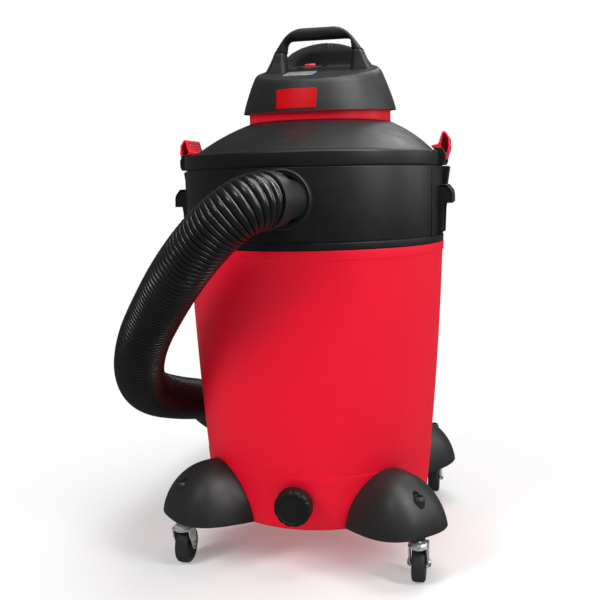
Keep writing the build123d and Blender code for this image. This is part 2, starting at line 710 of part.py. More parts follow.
LATCH_OUTLINE = [
    (184.5, 589.5),
    (188.6, 589.5),
    (194.2, 581),
    (195, 568),
    (190, 552.3),
    (186, 552.3),
    (185, 559),
    (181, 566.5),
    (170, 568.4),
    (170, 571),
    (180, 573),
    (184.5, 589.5),
]
LATCH_HOLLOW = [
    (186, 585.5),
    (187.6, 586),
    (192.2, 580),
    (192.8, 568.6),
    (190.4, 562),
    (187.8, 562),
    (183, 570.5),
    (186, 585.5),
]


def build_latch(side):
    """Wedge-shaped latch with a lip over the lid, turning on a pin along Y."""
    pin_place = (side * LATCH_PIN_X, LATCH_PIN_Z)
    with BuildPart() as latch:
        with BuildSketch(Plane.XZ.offset(-LATCH_HALF_W)):
            with BuildLine():
                Polyline(*sided(side, LATCH_OUTLINE))
            make_face()
            with Locations(pin_place):
                Circle(LATCH_PIN_R + 1.7)
        extrude(amount=2 * LATCH_HALF_W)
        # hollow of the wedge, open at both ends
        with BuildSketch(Plane.XZ.offset(-LATCH_HALF_W - 1)):
            with BuildLine():
                Polyline(*sided(side, LATCH_HOLLOW))
            make_face()
        extrude(amount=2 * LATCH_HALF_W + 2, mode=Mode.SUBTRACT)
        # grip ridges on the inboard plate
        with BuildSketch(Plane.XZ.offset(-LATCH_HALF_W + 3)):
            with Locations(*sided(side, [(180.7 + 1.1 * step, 574.6 + 3.7 * step) for step in range(4)])):
                Circle(0.9)
        extrude(amount=2 * LATCH_HALF_W - 6)
        with BuildSketch(Plane.XZ.offset(-LATCH_HALF_W - 1)):
            with Locations(pin_place):
                Circle(LATCH_PIN_R + RUNNING)
        extrude(amount=2 * LATCH_HALF_W + 2, mode=Mode.SUBTRACT)
    return latch


save(build_latch(-1), "latch_left")
save(build_latch(1), "latch_right")

with BuildPart() as latch_pins:
    with BuildSketch(Plane.XZ.offset(-BRACKET_HALF_W + 1)):
        with Locations((-LATCH_PIN_X, LATCH_PIN_Z), (LATCH_PIN_X, LATCH_PIN_Z)):
            Circle(LATCH_PIN_R)
    extrude(amount=2 * BRACKET_HALF_W - 2)
save(latch_pins, "latch_pins")

# ---------------------------------------------------------------- motor head
with BuildPart() as motor_ring:
    with BuildSketch(Plane.XY.offset(DOME_TOP_Z)):
        with Locations((0, HEAD_Y)):
            Circle(RING_R)
            Circle(RING_IN_R, mode=Mode.SUBTRACT)
            with PolarLocations(HEAD_SCREW_R, 4, start_angle=45):
                Circle(SCREW_R + RUNNING, mode=Mode.SUBTRACT)
    extrude(amount=RING_TOP_Z - DOME_TOP_Z)
save(motor_ring, "motor_ring")


def build_cover_body(inset):
    """Solid inside the motor cover's surface, moved inward by inset, cut to the sloping deck."""
    points = [(max(r - inset, 0), z - inset) for r, z in COVER_OUTLINE]
    points[0] = (COVER_BASE_R - inset, RING_TOP_Z)
    with BuildPart() as body:
        with BuildSketch(Plane.XZ.offset(-HEAD_Y)):
            with BuildLine():
                Spline(*points)
                Polyline(points[-1], (0, points[0][1]), points[0])
            make_face()
        revolve(axis=HEAD_AXIS)
        front, back = DECK_FRONT_Y - 60, HUMP_Y + inset
        with BuildSketch(Plane.YZ.offset(-130)) as deck_cut:
            with BuildLine():
                Polyline(
                    (front, deck_z(front) - inset),
                    (back, deck_z(back) - inset),
                    (back + 14, HANDLE_TOP_Z + 10),
                    (front, HANDLE_TOP_Z + 10),
                    (front, deck_z(front) - inset),
                )
            make_face()
            fillet(deck_cut.vertices().sort_by_distance((back, deck_z(back) - inset))[0], radius=8)
        extrude(amount=260, mode=Mode.SUBTRACT)
    return body.part


cover_solid = build_cover_body(0)
cover_hollow = build_cover_body(COVER_WALL)
badge_skin = build_cover_body(-1.2)


def build_post(side):
    """One post of the handle, leaning inward, with its upright corners rounded."""
    front = Plane.XZ.offset(-HANDLE_Y - HANDLE_DEPTH / 2)
    with BuildPart() as post:
        with BuildSketch(front):
            with BuildLine():
                Polyline(
                    (side * POST_IN_X, SEAM_Z),
                    (side * SEAM_OUT_X, SEAM_Z),
                    (side * POST_FOOT_X, POST_FOOT_Z),
                    (side * POST_IN_X, POST_FOOT_Z),
                    (side * POST_IN_X, SEAM_Z),
                )
            make_face()
        extrude(amount=HANDLE_DEPTH)
        upright = [edge for edge in post.edges() if abs(edge.tangent_at(0).Z) > 0.5]
        upright.sort(key=lambda edge: abs(edge.center().X))
        fillet(upright[:2], radius=INNER_ROUND)
        slanted = [edge for edge in post.edges() if 0.5 < abs(edge.tangent_at(0).Z) < 0.99]
        fillet(slanted, radius=OUTER_ROUND)
    return post.part


BLOWER_Z, BLOWER_R, BLOWER_BORE_R = 664.0, 33.0, 29.0
GLAND_X, GLAND_Z = 62.0, 646.0
SWITCH_X, SWITCH_Y = -20.0, 76.0

# floor of the cover and its screw bosses
with BuildPart() as base_fixings:
    with BuildSketch(Plane.XY.offset(RING_TOP_Z)):
        with Locations((0, HEAD_Y)):
            Circle(COVER_BASE_R - 1)
            Circle(RING_IN_R + 3, mode=Mode.SUBTRACT)
    extrude(amount=COVER_WALL)
    with BuildSketch(Plane.XY.offset(RING_TOP_Z)):
        with Locations((0, HEAD_Y)):
            with PolarLocations(HEAD_SCREW_R, 4, start_angle=45):
                Circle(5)
    extrude(amount=36)
    add(cover_solid, mode=Mode.INTERSECT)

with BuildPart() as motor_cover:
    add(cover_solid)
    # posts that carry the handle grip
    for side in (-1, 1):
        add(build_post(side))
    add(cover_hollow, mode=Mode.SUBTRACT)
    add(base_fixings.part)
    with BuildSketch(Plane.XY.offset(RING_TOP_Z - 1)):
        with Locations((0, HEAD_Y)):
            with PolarLocations(HEAD_SCREW_R, 4, start_angle=45):
                Circle(SCREW_R + RUNNING)
    extrude(amount=20, mode=Mode.SUBTRACT)
    with BuildSketch(Plane.XZ.offset(-HEAD_Y - 60)):
        with Locations((0, BLOWER_Z)):
            Circle(BLOWER_R + GAP)
    extrude(amount=-80, mode=Mode.SUBTRACT)
    with BuildSketch(Plane.XZ.offset(-HEAD_Y - 60)):
        with Locations((GLAND_X, GLAND_Z)):
            Circle(8 + GAP)
    extrude(amount=-80, mode=Mode.SUBTRACT)
    with BuildSketch(deck_plane(SWITCH_X, SWITCH_Y)):
        Rectangle(22, 14)
    extrude(amount=6, both=True, mode=Mode.SUBTRACT)
save(motor_cover, "motor_cover")


def mirrored_corners(sketch, x, z):
    """The sketch's two corners at plus and minus x."""
    return [sketch.vertices().sort_by_distance((side * x, z))[0] for side in (-1, 1)]


def reaches_past_opening(edge):
    """Whether an edge of the grip runs along its outside rather than round the opening."""
    return max(vertex.Z for vertex in edge.vertices()) > GRIP_UNDER_Z + 1


with BuildPart() as handle_grip:
    with BuildSketch(Plane.XZ.offset(-HANDLE_Y - HANDLE_DEPTH / 2)) as grip_section:
        with BuildLine():
            Polyline(
                (-SEAM_OUT_X, SEAM_Z),
                (-CROWN_X, HANDLE_TOP_Z),
                (CROWN_X, HANDLE_TOP_Z),
                (SEAM_OUT_X, SEAM_Z),
                (POST_IN_X, SEAM_Z),
                (POST_IN_X - 2, GRIP_UNDER_Z),
                (2 - POST_IN_X, GRIP_UNDER_Z),
                (-POST_IN_X, SEAM_Z),
                (-SEAM_OUT_X, SEAM_Z),
            )
        make_face()
        fillet(mirrored_corners(grip_section, CROWN_X, HANDLE_TOP_Z), radius=34)
        fillet(mirrored_corners(grip_section, POST_IN_X - 2, GRIP_UNDER_Z), radius=11)
    extrude(amount=HANDLE_DEPTH)
    side_edges = handle_grip.faces().filter_by(Axis.Y).edges()
    seam_edges = handle_grip.faces().filter_by(Plane.XY).sort_by(Axis.Z)[:2].edges()
    grip_edges = [edge for edge in side_edges if not any(edge.is_same(seam) for seam in seam_edges)]
    fillet([edge for edge in grip_edges if reaches_past_opening(edge)], radius=OUTER_ROUND)
    fillet([edge for edge in grip_edges if not reaches_past_opening(edge)], radius=INNER_ROUND)
save(handle_grip, "handle_grip")

BADGE_PLACE = (-12, 643.5)
with BuildPart() as badge_plate:
    add(badge_skin)
    add(cover_solid, mode=Mode.SUBTRACT)
    with BuildSketch(Plane.XZ.offset(20)):
        with Locations(BADGE_PLACE):
            RectangleRounded(58, 25, 2)
    extrude(amount=80, mode=Mode.INTERSECT)
save(badge_plate, "badge_plate")

with BuildPart() as deck_label:
    with BuildSketch(deck_plane(-27, 20)):
        RectangleRounded(44, 34, 3)
    extrude(amount=0.8)
save(deck_label, "deck_label")

# ---------------------------------------------------------------- switch
with BuildPart() as switch_bezel:
    with BuildSketch(deck_plane(SWITCH_X, SWITCH_Y)):
        Ellipse(19, 10.5)
        Rectangle(19.2, 13.4, mode=Mode.SUBTRACT)
    extrude(amount=2.5)
save(switch_bezel, "switch_bezel")

ROCKER_TILT = 9.0
switch_centre = deck_plane(SWITCH_X, SWITCH_Y)
rocker_plane = Plane(origin=switch_centre.origin, x_dir=(1, 0, 0), z_dir=-switch_centre.y_dir)
with BuildPart() as rocker_level:
    with BuildSketch(rocker_plane):
        with BuildLine():
            Polyline((-9, 0), (-8.6, 4.8), (0, 3.0), (8.6, 4.8), (9, 0), (5, -4), (-5, -4), (-9, 0))
        make_face()
        with Locations((0, -1.5)):
            Circle(3)
        Circle(1.25, mode=Mode.SUBTRACT)
    extrude(amount=5.4, both=True)
rocker_turned = rocker_level.part.rotate(Axis(switch_centre.origin, switch_centre.y_dir), ROCKER_TILT)
with BuildPart() as switch_rocker:
    add(rocker_turned)
save(switch_rocker, "switch_rocker")

with BuildPart() as switch_body:
    with BuildSketch(deck_plane(SWITCH_X, SWITCH_Y).offset(-6.2)):
        Rectangle(20, 12)
    extrude(amount=-16)
    with BuildSketch(rocker_plane):
        Circle(1.2)
    extrude(amount=6, both=True)
    for end in (-1, 1):
        with BuildSketch(deck_plane(SWITCH_X, SWITCH_Y).offset(-7)):
            with Locations((0, end * 6.1)):
                Rectangle(5, 0.8)
        extrude(amount=9)
    for pin_x in (-5, 5):
        with BuildSketch(deck_plane(SWITCH_X, SWITCH_Y).offset(-22.2)):
            with Locations((pin_x, 0)):
                Rectangle(0.8, 6)
        extrude(amount=-7)
save(switch_body, "switch_body")

# ---------------------------------------------------------------- rear of the head
with BuildPart() as blower_port:
    with BuildSketch(Plane.XZ.offset(-HEAD_Y - 78)):
        with Locations((0, BLOWER_Z)):
            Circle(BLOWER_R)
            Circle(BLOWER_BORE_R, mode=Mode.SUBTRACT)
    extrude(amount=-44)
save(blower_port, "blower_port")

with BuildPart() as cord_gland:
    with BuildSketch(Plane.XZ.offset(-HEAD_Y - 84)):
        with Locations((GLAND_X, GLAND_Z)):
            Circle(8)
    extrude(amount=-20)
    with BuildSketch(Plane.XZ.offset(-HEAD_Y - 83)):
        with Locations((GLAND_X, GLAND_Z)):
            Circle(4)
    extrude(amount=-30, mode=Mode.SUBTRACT)
save(cord_gland, "cord_gland")

with BuildPart() as cover_screws:
    with BuildSketch(Plane.XY.offset(DOME_TOP_Z - DOME_PLATE - 3)):
        with Locations((0, HEAD_Y)):
            with PolarLocations(HEAD_SCREW_R, 4, start_angle=45):
                Circle(4.5)
    extrude(amount=3)
    with BuildSketch(Plane.XY.offset(DOME_TOP_Z - DOME_PLATE)):
        with Locations((0, HEAD_Y)):
            with PolarLocations(HEAD_SCREW_R, 4, start_angle=45):
                Circle(SCREW_R)
    extrude(amount=37)
save(cover_screws, "cover_screws")

# ---------------------------------------------------------------- motor, round the head's axis
FRAME_BASE_Z, FRAME_TOP_Z, FRAME_R = DOME_TOP_Z + 3.0, 662.0, 52.0
HUB_R, BEARING_R, SHAFT_R = 16.0, 11.0, 5.0
STATOR_Z, STATOR_H, STATOR_IN_R, ARMATURE_R = 622.0, 26.0, 27.0, 26.0
COMMUTATOR_Z, BRUSH_Z = 650.0, 652.0
SHAFT_BOTTOM_Z, SHAFT_TOP_Z, COOLING_FAN_Z = 566.0, 680.0, 672.0

with BuildPart() as motor_base_plate:
    with BuildSketch(Plane.XY.offset(DOME_TOP_Z)):
        with Locations((0, HEAD_Y)):
            Circle(76)
            Circle(SHAFT_R + 1, mode=Mode.SUBTRACT)
    extrude(amount=3)
    with BuildSketch(Plane.XY.offset(FRAME_BASE_Z)):
        with Locations((0, HEAD_Y)):
            Circle(HUB_R)
            Circle(BEARING_R, mode=Mode.SUBTRACT)
    extrude(amount=8)
save(motor_base_plate, "motor_base_plate")

with BuildPart() as motor_frame:
    with BuildSketch(Plane.XY.offset(FRAME_BASE_Z)):
        with Locations((0, HEAD_Y)):
            Circle(FRAME_R)
            Circle(FRAME_R - 3, mode=Mode.SUBTRACT)
    extrude(amount=FRAME_TOP_Z - FRAME_BASE_Z)
    with BuildSketch(Plane.XY.offset(FRAME_TOP_Z - 3)):
        with Locations((0, HEAD_Y)):
            Circle(FRAME_R)
            Circle(SHAFT_R + 1, mode=Mode.SUBTRACT)
    extrude(amount=3)
    with BuildSketch(Plane.XY.offset(FRAME_TOP_Z)):
        with Locations((0, HEAD_Y)):
            Circle(HUB_R)
            Circle(BEARING_R, mode=Mode.SUBTRACT)
    extrude(amount=8)
    # cooling windows and brush openings
    with BuildSketch(Plane.XZ.offset(-HEAD_Y)):
        with Locations((0, 617)):
            Rectangle(30, 8)
    extrude(amount=60, both=True, mode=Mode.SUBTRACT)
    with BuildSketch(Plane.YZ):
        with Locations((HEAD_Y, BRUSH_Z + 3)):
            Rectangle(8.4, 6.4)
    extrude(amount=60, both=True, mode=Mode.SUBTRACT)
save(motor_frame, "motor_frame")

with BuildPart() as stator:
    with BuildSketch(Plane.XY.offset(STATOR_Z)):
        with Locations((0, HEAD_Y)):
            Circle(FRAME_R - 3)
            Circle(STATOR_IN_R, mode=Mode.SUBTRACT)
    extrude(amount=STATOR_H)
save(stator, "stator")

with BuildPart() as armature:
    with BuildSketch(Plane.XY.offset(STATOR_Z + 1)):
        with Locations((0, HEAD_Y)):
            Circle(ARMATURE_R)
            with PolarLocations(ARMATURE_R, 12):
                Circle(1.6, mode=Mode.SUBTRACT)
            Circle(SHAFT_R, mode=Mode.SUBTRACT)
    extrude(amount=STATOR_H - 1)
save(armature, "armature")

with BuildPart() as commutator:
    with BuildSketch(Plane.XY.offset(COMMUTATOR_Z)):
        with Locations((0, HEAD_Y)):
            Circle(12)
            Circle(SHAFT_R, mode=Mode.SUBTRACT)
    extrude(amount=8)
save(commutator, "commutator")

with BuildPart() as carbon_brushes:
    with BuildSketch(Plane.XY.offset(BRUSH_Z)):
        with Locations((-30, HEAD_Y), (30, HEAD_Y)):
            Rectangle(35, 8)
    extrude(amount=6)
save(carbon_brushes, "carbon_brushes")

with BuildPart() as motor_shaft:
    with BuildSketch(Plane.XY.offset(SHAFT_BOTTOM_Z)):
        with Locations((0, HEAD_Y)):
            Circle(SHAFT_R)
    extrude(amount=SHAFT_TOP_Z - SHAFT_BOTTOM_Z)
save(motor_shaft, "motor_shaft")

for label, bottom_z in (("lower_bearing", FRAME_BASE_Z), ("upper_bearing", FRAME_TOP_Z)):
    with BuildPart() as bearing:
        with BuildSketch(Plane.XY.offset(bottom_z)):
            with Locations((0, HEAD_Y)):
                Circle(BEARING_R)
                Circle(SHAFT_R + RUNNING, mode=Mode.SUBTRACT)
        extrude(amount=7)
    save(bearing, label)

with BuildPart() as cooling_fan:
    with BuildSketch(Plane.XY.offset(COOLING_FAN_Z)):
        with Locations((0, HEAD_Y)):
            Circle(9)
            Circle(SHAFT_R, mode=Mode.SUBTRACT)
            with PolarLocations(15, 9):
                Rectangle(16, 2)
            Circle(SHAFT_R, mode=Mode.SUBTRACT)
    extrude(amount=7)
save(cooling_fan, "cooling_fan")

# ---------------------------------------------------------------- suction fan under the lid's top
FAN_BASE_Z, HOUSING_R, EYE_R = CAGE_TOP_Z, 80.0, 22.0
IMPELLER_Z, IMPELLER_R = 568.0, 66.0
with BuildPart() as fan_housing:
    with BuildSketch(Plane.XY.offset(FAN_BASE_Z)):
        with Locations((0, HEAD_Y)):
            Circle(HOUSING_R)
    extrude(amount=DOME_TOP_Z - DOME_PLATE - FAN_BASE_Z)
    with BuildSketch(Plane.XY.offset(FAN_BASE_Z + WALL)):
        with Locations((0, HEAD_Y)):
            Circle(HOUSING_R - WALL)
    extrude(amount=60, mode=Mode.SUBTRACT)
    with BuildSketch(Plane.XY.offset(FAN_BASE_Z - 1)):
        with Locations((0, HEAD_Y)):
            Circle(EYE_R)
    extrude(amount=WALL + 2, mode=Mode.SUBTRACT)
save(fan_housing, "fan_housing")

with BuildPart() as impeller:
    for disc_z, eye_r in ((IMPELLER_Z, EYE_R), (IMPELLER_Z + 22, SHAFT_R)):
        with BuildSketch(Plane.XY.offset(disc_z)):
            with Locations((0, HEAD_Y)):
                Circle(IMPELLER_R)
                Circle(eye_r, mode=Mode.SUBTRACT)
        extrude(amount=2)
    with BuildSketch(Plane.XY.offset(IMPELLER_Z + 1)):
        with Locations((0, HEAD_Y)):
            with PolarLocations(45, 8):
                Rectangle(38, 2, rotation=35)
    extrude(amount=22)
    with BuildSketch(Plane.XY.offset(IMPELLER_Z)):
        with Locations((0, HEAD_Y)):
            Circle(11)
            Circle(SHAFT_R, mode=Mode.SUBTRACT)
    extrude(amount=24)
save(impeller, "impeller")

# ---------------------------------------------------------------- filter cage, float and filter
with BuildPart() as filter_cage:
    with BuildSketch(Plane.XY.offset(CAGE_TOP_Z - WALL)):
        with Locations((0, HEAD_Y)):
            Circle(70)
            Circle(EYE_R, mode=Mode.SUBTRACT)
    extrude(amount=WALL)
    with BuildSketch(Plane.XY.offset(CAGE_BOTTOM_Z)):
        with Locations((0, HEAD_Y)):
            Circle(CAGE_R)
            Circle(CAGE_R - WALL, mode=Mode.SUBTRACT)
    extrude(amount=CAGE_TOP_Z - CAGE_BOTTOM_Z - WALL)
    # tall windows between the ribs
    with BuildSketch(Plane.XY.offset(CAGE_BOTTOM_Z + 20)):
        with Locations((0, HEAD_Y)):
            with PolarLocations(CAGE_R, 6, start_angle=30):
                Rectangle(20, 36)
    extrude(amount=CAGE_TOP_Z - CAGE_BOTTOM_Z - 50, mode=Mode.SUBTRACT)
    with BuildSketch(Plane.XY.offset(CAGE_BOTTOM_Z)):
        with Locations((0, HEAD_Y)):
            Circle(CAGE_R)
    extrude(amount=WALL)
    # stud for the filter retainer
    with BuildSketch(Plane.XY.offset(CAGE_BOTTOM_Z - 26)):
        with Locations((0, HEAD_Y)):
            Circle(6)
    extrude(amount=26)
save(filter_cage, "filter_cage")

BALL_Z = CAGE_BOTTOM_Z + WALL + BALL_R + 0.1
with BuildPart() as float_ball:
    with Locations((0, HEAD_Y, BALL_Z)):
        Sphere(BALL_R)
        Sphere(BALL_R - 1.5, mode=Mode.SUBTRACT)
save(float_ball, "float_ball")

FILTER_TOP_Z, FILTER_BOTTOM_Z = CAGE_TOP_Z - WALL - 0.5, CAGE_BOTTOM_Z - 2.0
PLEATS = 40
with BuildPart() as filter_cartridge:
    with BuildSketch(Plane.XY.offset(FILTER_BOTTOM_Z + 8)):
        with Locations((0, HEAD_Y)):
            Circle(FILTER_R - 5)
            with PolarLocations(FILTER_R - 4, PLEATS):
                Circle(3)
            Circle(CAGE_R + 8, mode=Mode.SUBTRACT)
    extrude(amount=FILTER_TOP_Z - FILTER_BOTTOM_Z - 16)
    for cap_z in (FILTER_BOTTOM_Z, FILTER_TOP_Z - 8):
        with BuildSketch(Plane.XY.offset(cap_z)):
            with Locations((0, HEAD_Y)):
                Circle(FILTER_R)
                Circle(CAGE_R + 1, mode=Mode.SUBTRACT)
        extrude(amount=8)
save(filter_cartridge, "filter_cartridge")

with BuildPart() as filter_retainer:
    with BuildSketch(Plane.XY.offset(FILTER_BOTTOM_Z - 4.2)):
        with Locations((0, HEAD_Y)):
            Circle(62)
    extrude(amount=4)
    with BuildSketch(Plane.XY.offset(FILTER_BOTTOM_Z - 30)):
        with Locations((0, HEAD_Y)):
            Circle(14)
            Rectangle(60, 6)
    extrude(amount=26)
    with BuildSketch(Plane.XY.offset(FILTER_BOTTOM_Z - 26)):
        with Locations((0, HEAD_Y)):
            Circle(6 + RUNNING)
    extrude(amount=27, mode=Mode.SUBTRACT)
save(filter_retainer, "filter_retainer")

with BuildPart() as sound_foam:
    with BuildSketch(Plane.XY.offset(RING_TOP_Z + COVER_WALL)):
        with Locations((0, HEAD_Y)):
            Circle(72)
            Circle(58, mode=Mode.SUBTRACT)
    extrude(amount=18)
save(sound_foam, "sound_foam")
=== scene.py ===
"""Shop vacuum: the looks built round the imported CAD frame.
Shapes are given in millimetres here and written to Blender in metres, +Z up, front towards -Y."""

import json
import math
from functools import partial

import bmesh
import bpy
from mathutils import Matrix, Vector


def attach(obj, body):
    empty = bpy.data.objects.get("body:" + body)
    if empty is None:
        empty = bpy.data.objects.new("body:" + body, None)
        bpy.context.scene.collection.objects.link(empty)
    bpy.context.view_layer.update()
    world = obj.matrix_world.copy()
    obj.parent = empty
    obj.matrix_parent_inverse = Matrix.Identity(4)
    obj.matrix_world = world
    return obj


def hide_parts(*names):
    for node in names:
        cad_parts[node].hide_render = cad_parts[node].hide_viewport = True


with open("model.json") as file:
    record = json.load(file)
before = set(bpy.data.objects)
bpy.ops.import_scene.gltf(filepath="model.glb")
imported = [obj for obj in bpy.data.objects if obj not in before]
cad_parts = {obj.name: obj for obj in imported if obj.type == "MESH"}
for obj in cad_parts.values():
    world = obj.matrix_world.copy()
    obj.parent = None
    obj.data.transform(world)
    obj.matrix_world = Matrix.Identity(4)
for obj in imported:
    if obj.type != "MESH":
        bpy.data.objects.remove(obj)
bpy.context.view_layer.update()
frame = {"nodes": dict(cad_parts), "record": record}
nodes = frame["nodes"]
MM = 0.001

# ---------------------------------------------------------------- sizes, as in the CAD source
DRUM_SIDE = ((160.4, 61.0), (175.6, 250.0), (184.2, 439.0))
DRUM_TOP_Z = 439.0
COLLAR_TOP_Z = 543.3
HEAD_Y = 48.0
RING_BASE_Z, RING_TOP_Z = 609.0, 629.0
COVER_OUTLINE = [(113.5, 629), (109.8, 642), (101, 665), (90, 690), (76, 713), (62, 726.5), (35, 738.5), (0, 742)]
DECK_FRONT_Y, DECK_FRONT_Z, DECK_SLOPE, HUMP_Y = -45.0, 666.0, 0.25, 92.0
HANDLE_Y, HANDLE_DEPTH, POST_IN_X, SEAM_OUT_X, SEAM_Z = 50.0, 32.0, 50.5, 66.0, 715.0
CROWN_X, HANDLE_TOP_Z, GRIP_UNDER_Z = 40.0, 749.0, 733.8
STEM_XY, WHEEL_R, WHEEL_W, TRAIL = 162.4, 25.0, 18.0, 10.0
CASTERS = {"front_left": (-1, -1), "front_right": (1, -1), "rear_left": (-1, 1), "rear_right": (1, 1)}
PORT_TURN, PORT_POINT = math.radians(22.0), Vector((5.0, -185.6, 503.5))
PORT_OUT = Vector((-math.sin(PORT_TURN), -math.cos(PORT_TURN), 0))
PORT_SIDE = Vector((math.cos(PORT_TURN), -math.sin(PORT_TURN), 0))
HOSE_R, CUFF_END = 35.0, 55.0
DRAIN_Z = 101.0
SWITCH_X, SWITCH_Y = -20.0, 76.0


# ---------------------------------------------------------------- camera
def place_camera():
    """A camera at the photograph's viewing angle."""
    turn, pitch, roll = math.radians(12.83), math.radians(-8.13), math.radians(-1.25)
    ahead = Vector((-math.sin(turn) * math.cos(pitch), math.cos(turn) * math.cos(pitch), math.sin(pitch)))
    level = Vector((math.cos(turn), math.sin(turn), 0))
    upright = level.cross(ahead)
    right = level * math.cos(roll) + upright * math.sin(roll)
    up = upright * math.cos(roll) - level * math.sin(roll)
    lens = bpy.data.cameras.new("camera")
    lens.lens, lens.sensor_width = 48.93, 36.0
    camera = bpy.data.objects.new("camera", lens)
    turn_matrix = Matrix((right, up, -ahead)).transposed().to_4x4()
    turn_matrix.translation = (0.24208, -1.17621, 0.52302)
    camera.matrix_world = turn_matrix
    bpy.context.scene.collection.objects.link(camera)
    bpy.context.scene.camera = camera


place_camera()


# ---------------------------------------------------------------- materials
def fill(tree, target, inputs):
    """Sets a node's inputs: a socket is linked, anything else is a value."""
    for key, value in inputs.items():
        if isinstance(value, bpy.types.NodeSocket):
            tree.links.new(value, target.inputs[key])
        else:
            target.inputs[key].default_value = value


def add_node(tree, kind, inputs, **settings):
    """A new node with its inputs and settings."""
    made = tree.nodes.new(kind)
    for key, value in settings.items():
        setattr(made, key, value)
    fill(tree, made, inputs)
    return made


def new_material(name):
    """A material, a function that adds nodes, the object's coordinates, and a function that feeds the shader."""
    material = bpy.data.materials.new(name)
    material.use_nodes = True
    tree = material.node_tree
    node = partial(add_node, tree)

    def feed(inputs, bump=None):
        shader = tree.nodes["Principled BSDF"]
        fill(tree, shader, inputs)
        if bump:
            raised = node("ShaderNodeBump", dict(zip(("Height", "Strength", "Distance"), bump)))
            fill(tree, shader, {"Normal": raised.outputs["Normal"]})

    return material, node, node("ShaderNodeTexCoord", {}).outputs["Object"], feed


def noise(node, place, scale, detail, **more):
    """The grey of a noise texture."""
    return node("ShaderNodeTexNoise", {"Vector": place, "Scale": scale, "Detail": detail, **more}).outputs["Fac"]


def blend(node, share, first, second):
    """Two greys mixed."""
    return node("ShaderNodeMix", {0: share, 2: first, 3: second}, data_type="FLOAT").outputs[0]


def ramp(node, source, stops):
    """A colour ramp over source. Stops are (position, colour or grey)."""
    made = node("ShaderNodeValToRGB", {"Fac": source})
    elements = made.color_ramp.elements
    while len(elements) < len(stops):
        elements.new(0.5)
    for element, (position, value) in zip(elements, stops):
        element.position = position
        element.color = value if hasattr(value, "__len__") else (value, value, value, 1)
    return made.outputs["Color"]


def moulded(name, colour, rough, grain, grain_depth, specular=0.3, coat=0.0, wear=0.03, mottle=0.08):
    """Injection-moulded plastic: fine spark texture, slow gloss changes, edges rubbed paler."""
    material, node, place, feed = new_material(name)
    patch = noise(node, place, 55.0, 5.0, Roughness=0.6)
    spark = noise(node, place, grain, 2.0, Roughness=0.7)
    dark = tuple(c * (1 - mottle) for c in colour) + (1,)
    light = tuple(min(1, c * (1 + mottle)) for c in colour) + (1,)
    base = ramp(node, noise(node, place, 9.0, 4.0), [(0.3, dark), (0.7, light)])
    rubbed = tuple(min(1, c + wear * (0.6 + 0.4 * c)) for c in colour) + (1,)
    edge = ramp(node, node("ShaderNodeNewGeometry", {}).outputs["Pointiness"], [(0.52, 0.0), (0.62, 1.0)])
    worn = node("ShaderNodeMix", {0: edge, 6: base, 7: rubbed}, data_type="RGBA").outputs[2]
    gloss = ramp(node, patch, [(0.3, max(rough - 0.06, 0.05)), (0.7, min(rough + 0.06, 1))])
    feed({"Base Color": worn, "Roughness": gloss, "Specular IOR Level": specular, "Coat Weight": coat,
          "Coat Roughness": 0.25}, (spark, grain_depth, 0.0004))
    return material


def metal(name, colour, rough, brushed=0.0, spangle=0.0, metallic=1.0):
    """Plated or machined metal: streaks or crystal spangle in the gloss, and faint tarnish."""
    material, node, place, feed = new_material(name)
    stretch = node("ShaderNodeMapping", {"Vector": place, "Scale": (40.0, 40.0, 900.0 if brushed else 40.0)})
    streak = noise(node, stretch.outputs["Vector"], 3.0, 6.0)
    crystal = node("ShaderNodeTexVoronoi", {"Vector": place, "Scale": 160.0}).outputs["Distance"]
    dull = tuple(c * 0.8 for c in colour) + (1,)
    base = ramp(node, noise(node, place, 70.0, 4.0), [(0.35, dull), (0.6, tuple(colour) + (1,))])
    gloss = ramp(node, blend(node, spangle, streak, crystal), [(0.2, max(rough - 0.1, 0.05)), (0.8, rough + 0.12)])
    feed({"Base Color": base, "Roughness": gloss, "Metallic": metallic}, (streak, 0.08, 0.0002))
    return material


def paper(name):
    """Creased filter paper with fibres."""
    material, node, place, feed = new_material(name)
    fibre = noise(node, place, 500.0, 6.0, Distortion=1.5)
    mixed = blend(node, 0.35, fibre, noise(node, place, 25.0, 4.0))
    base = ramp(node, mixed, [(0.3, (0.55, 0.5, 0.4, 1)), (0.65, (0.83, 0.8, 0.71, 1))])
    feed({"Base Color": base, "Roughness": 0.95}, (fibre, 0.4, 0.0004))
    return material


def foam_cells(name):
    """Open-cell acoustic foam."""
    material, node, place, feed = new_material(name)
    cells = node("ShaderNodeTexVoronoi", {"Vector": place, "Scale": 420.0}).outputs["Distance"]
    base = ramp(node, cells, [(0.1, (0.01, 0.01, 0.011, 1)), (0.6, (0.09, 0.09, 0.1, 1))])
    feed({"Base Color": base, "Roughness": 1.0}, (cells, 0.9, 0.0012))
    return material


def windings(name):
    """Enamelled copper wire laid side by side."""
    material, node, place, feed = new_material(name)
    wave = node("ShaderNodeTexWave", {"Vector": place, "Scale": 220.0, "Distortion": 1.2}, bands_direction="Z")
    wires = wave.outputs["Fac"]
    base = ramp(node, wires, [(0.1, (0.12, 0.03, 0.01, 1)), (0.7, (0.72, 0.27, 0.1, 1))])
    feed({"Base Color": base, "Metallic": 0.7, "Roughness": 0.35}, (wires, 0.7, 0.0005))
    return material


def label_print(name):
    """Satin foil label: pale field with faint printed bands and dust."""
    material, node, place, feed = new_material(name)
    bands = node("ShaderNodeTexWave", {"Vector": place, "Scale": 90.0, "Distortion": 0.0}, bands_direction="Y")
    mixed = blend(node, 0.4, noise(node, place, 160.0, 5.0), bands.outputs["Fac"])
    base = ramp(node, mixed, [(0.35, (0.06, 0.065, 0.07, 1)), (0.62, (0.6, 0.63, 0.66, 1))])
    feed({"Base Color": base, "Roughness": 0.35, "Metallic": 0.4})
    return material


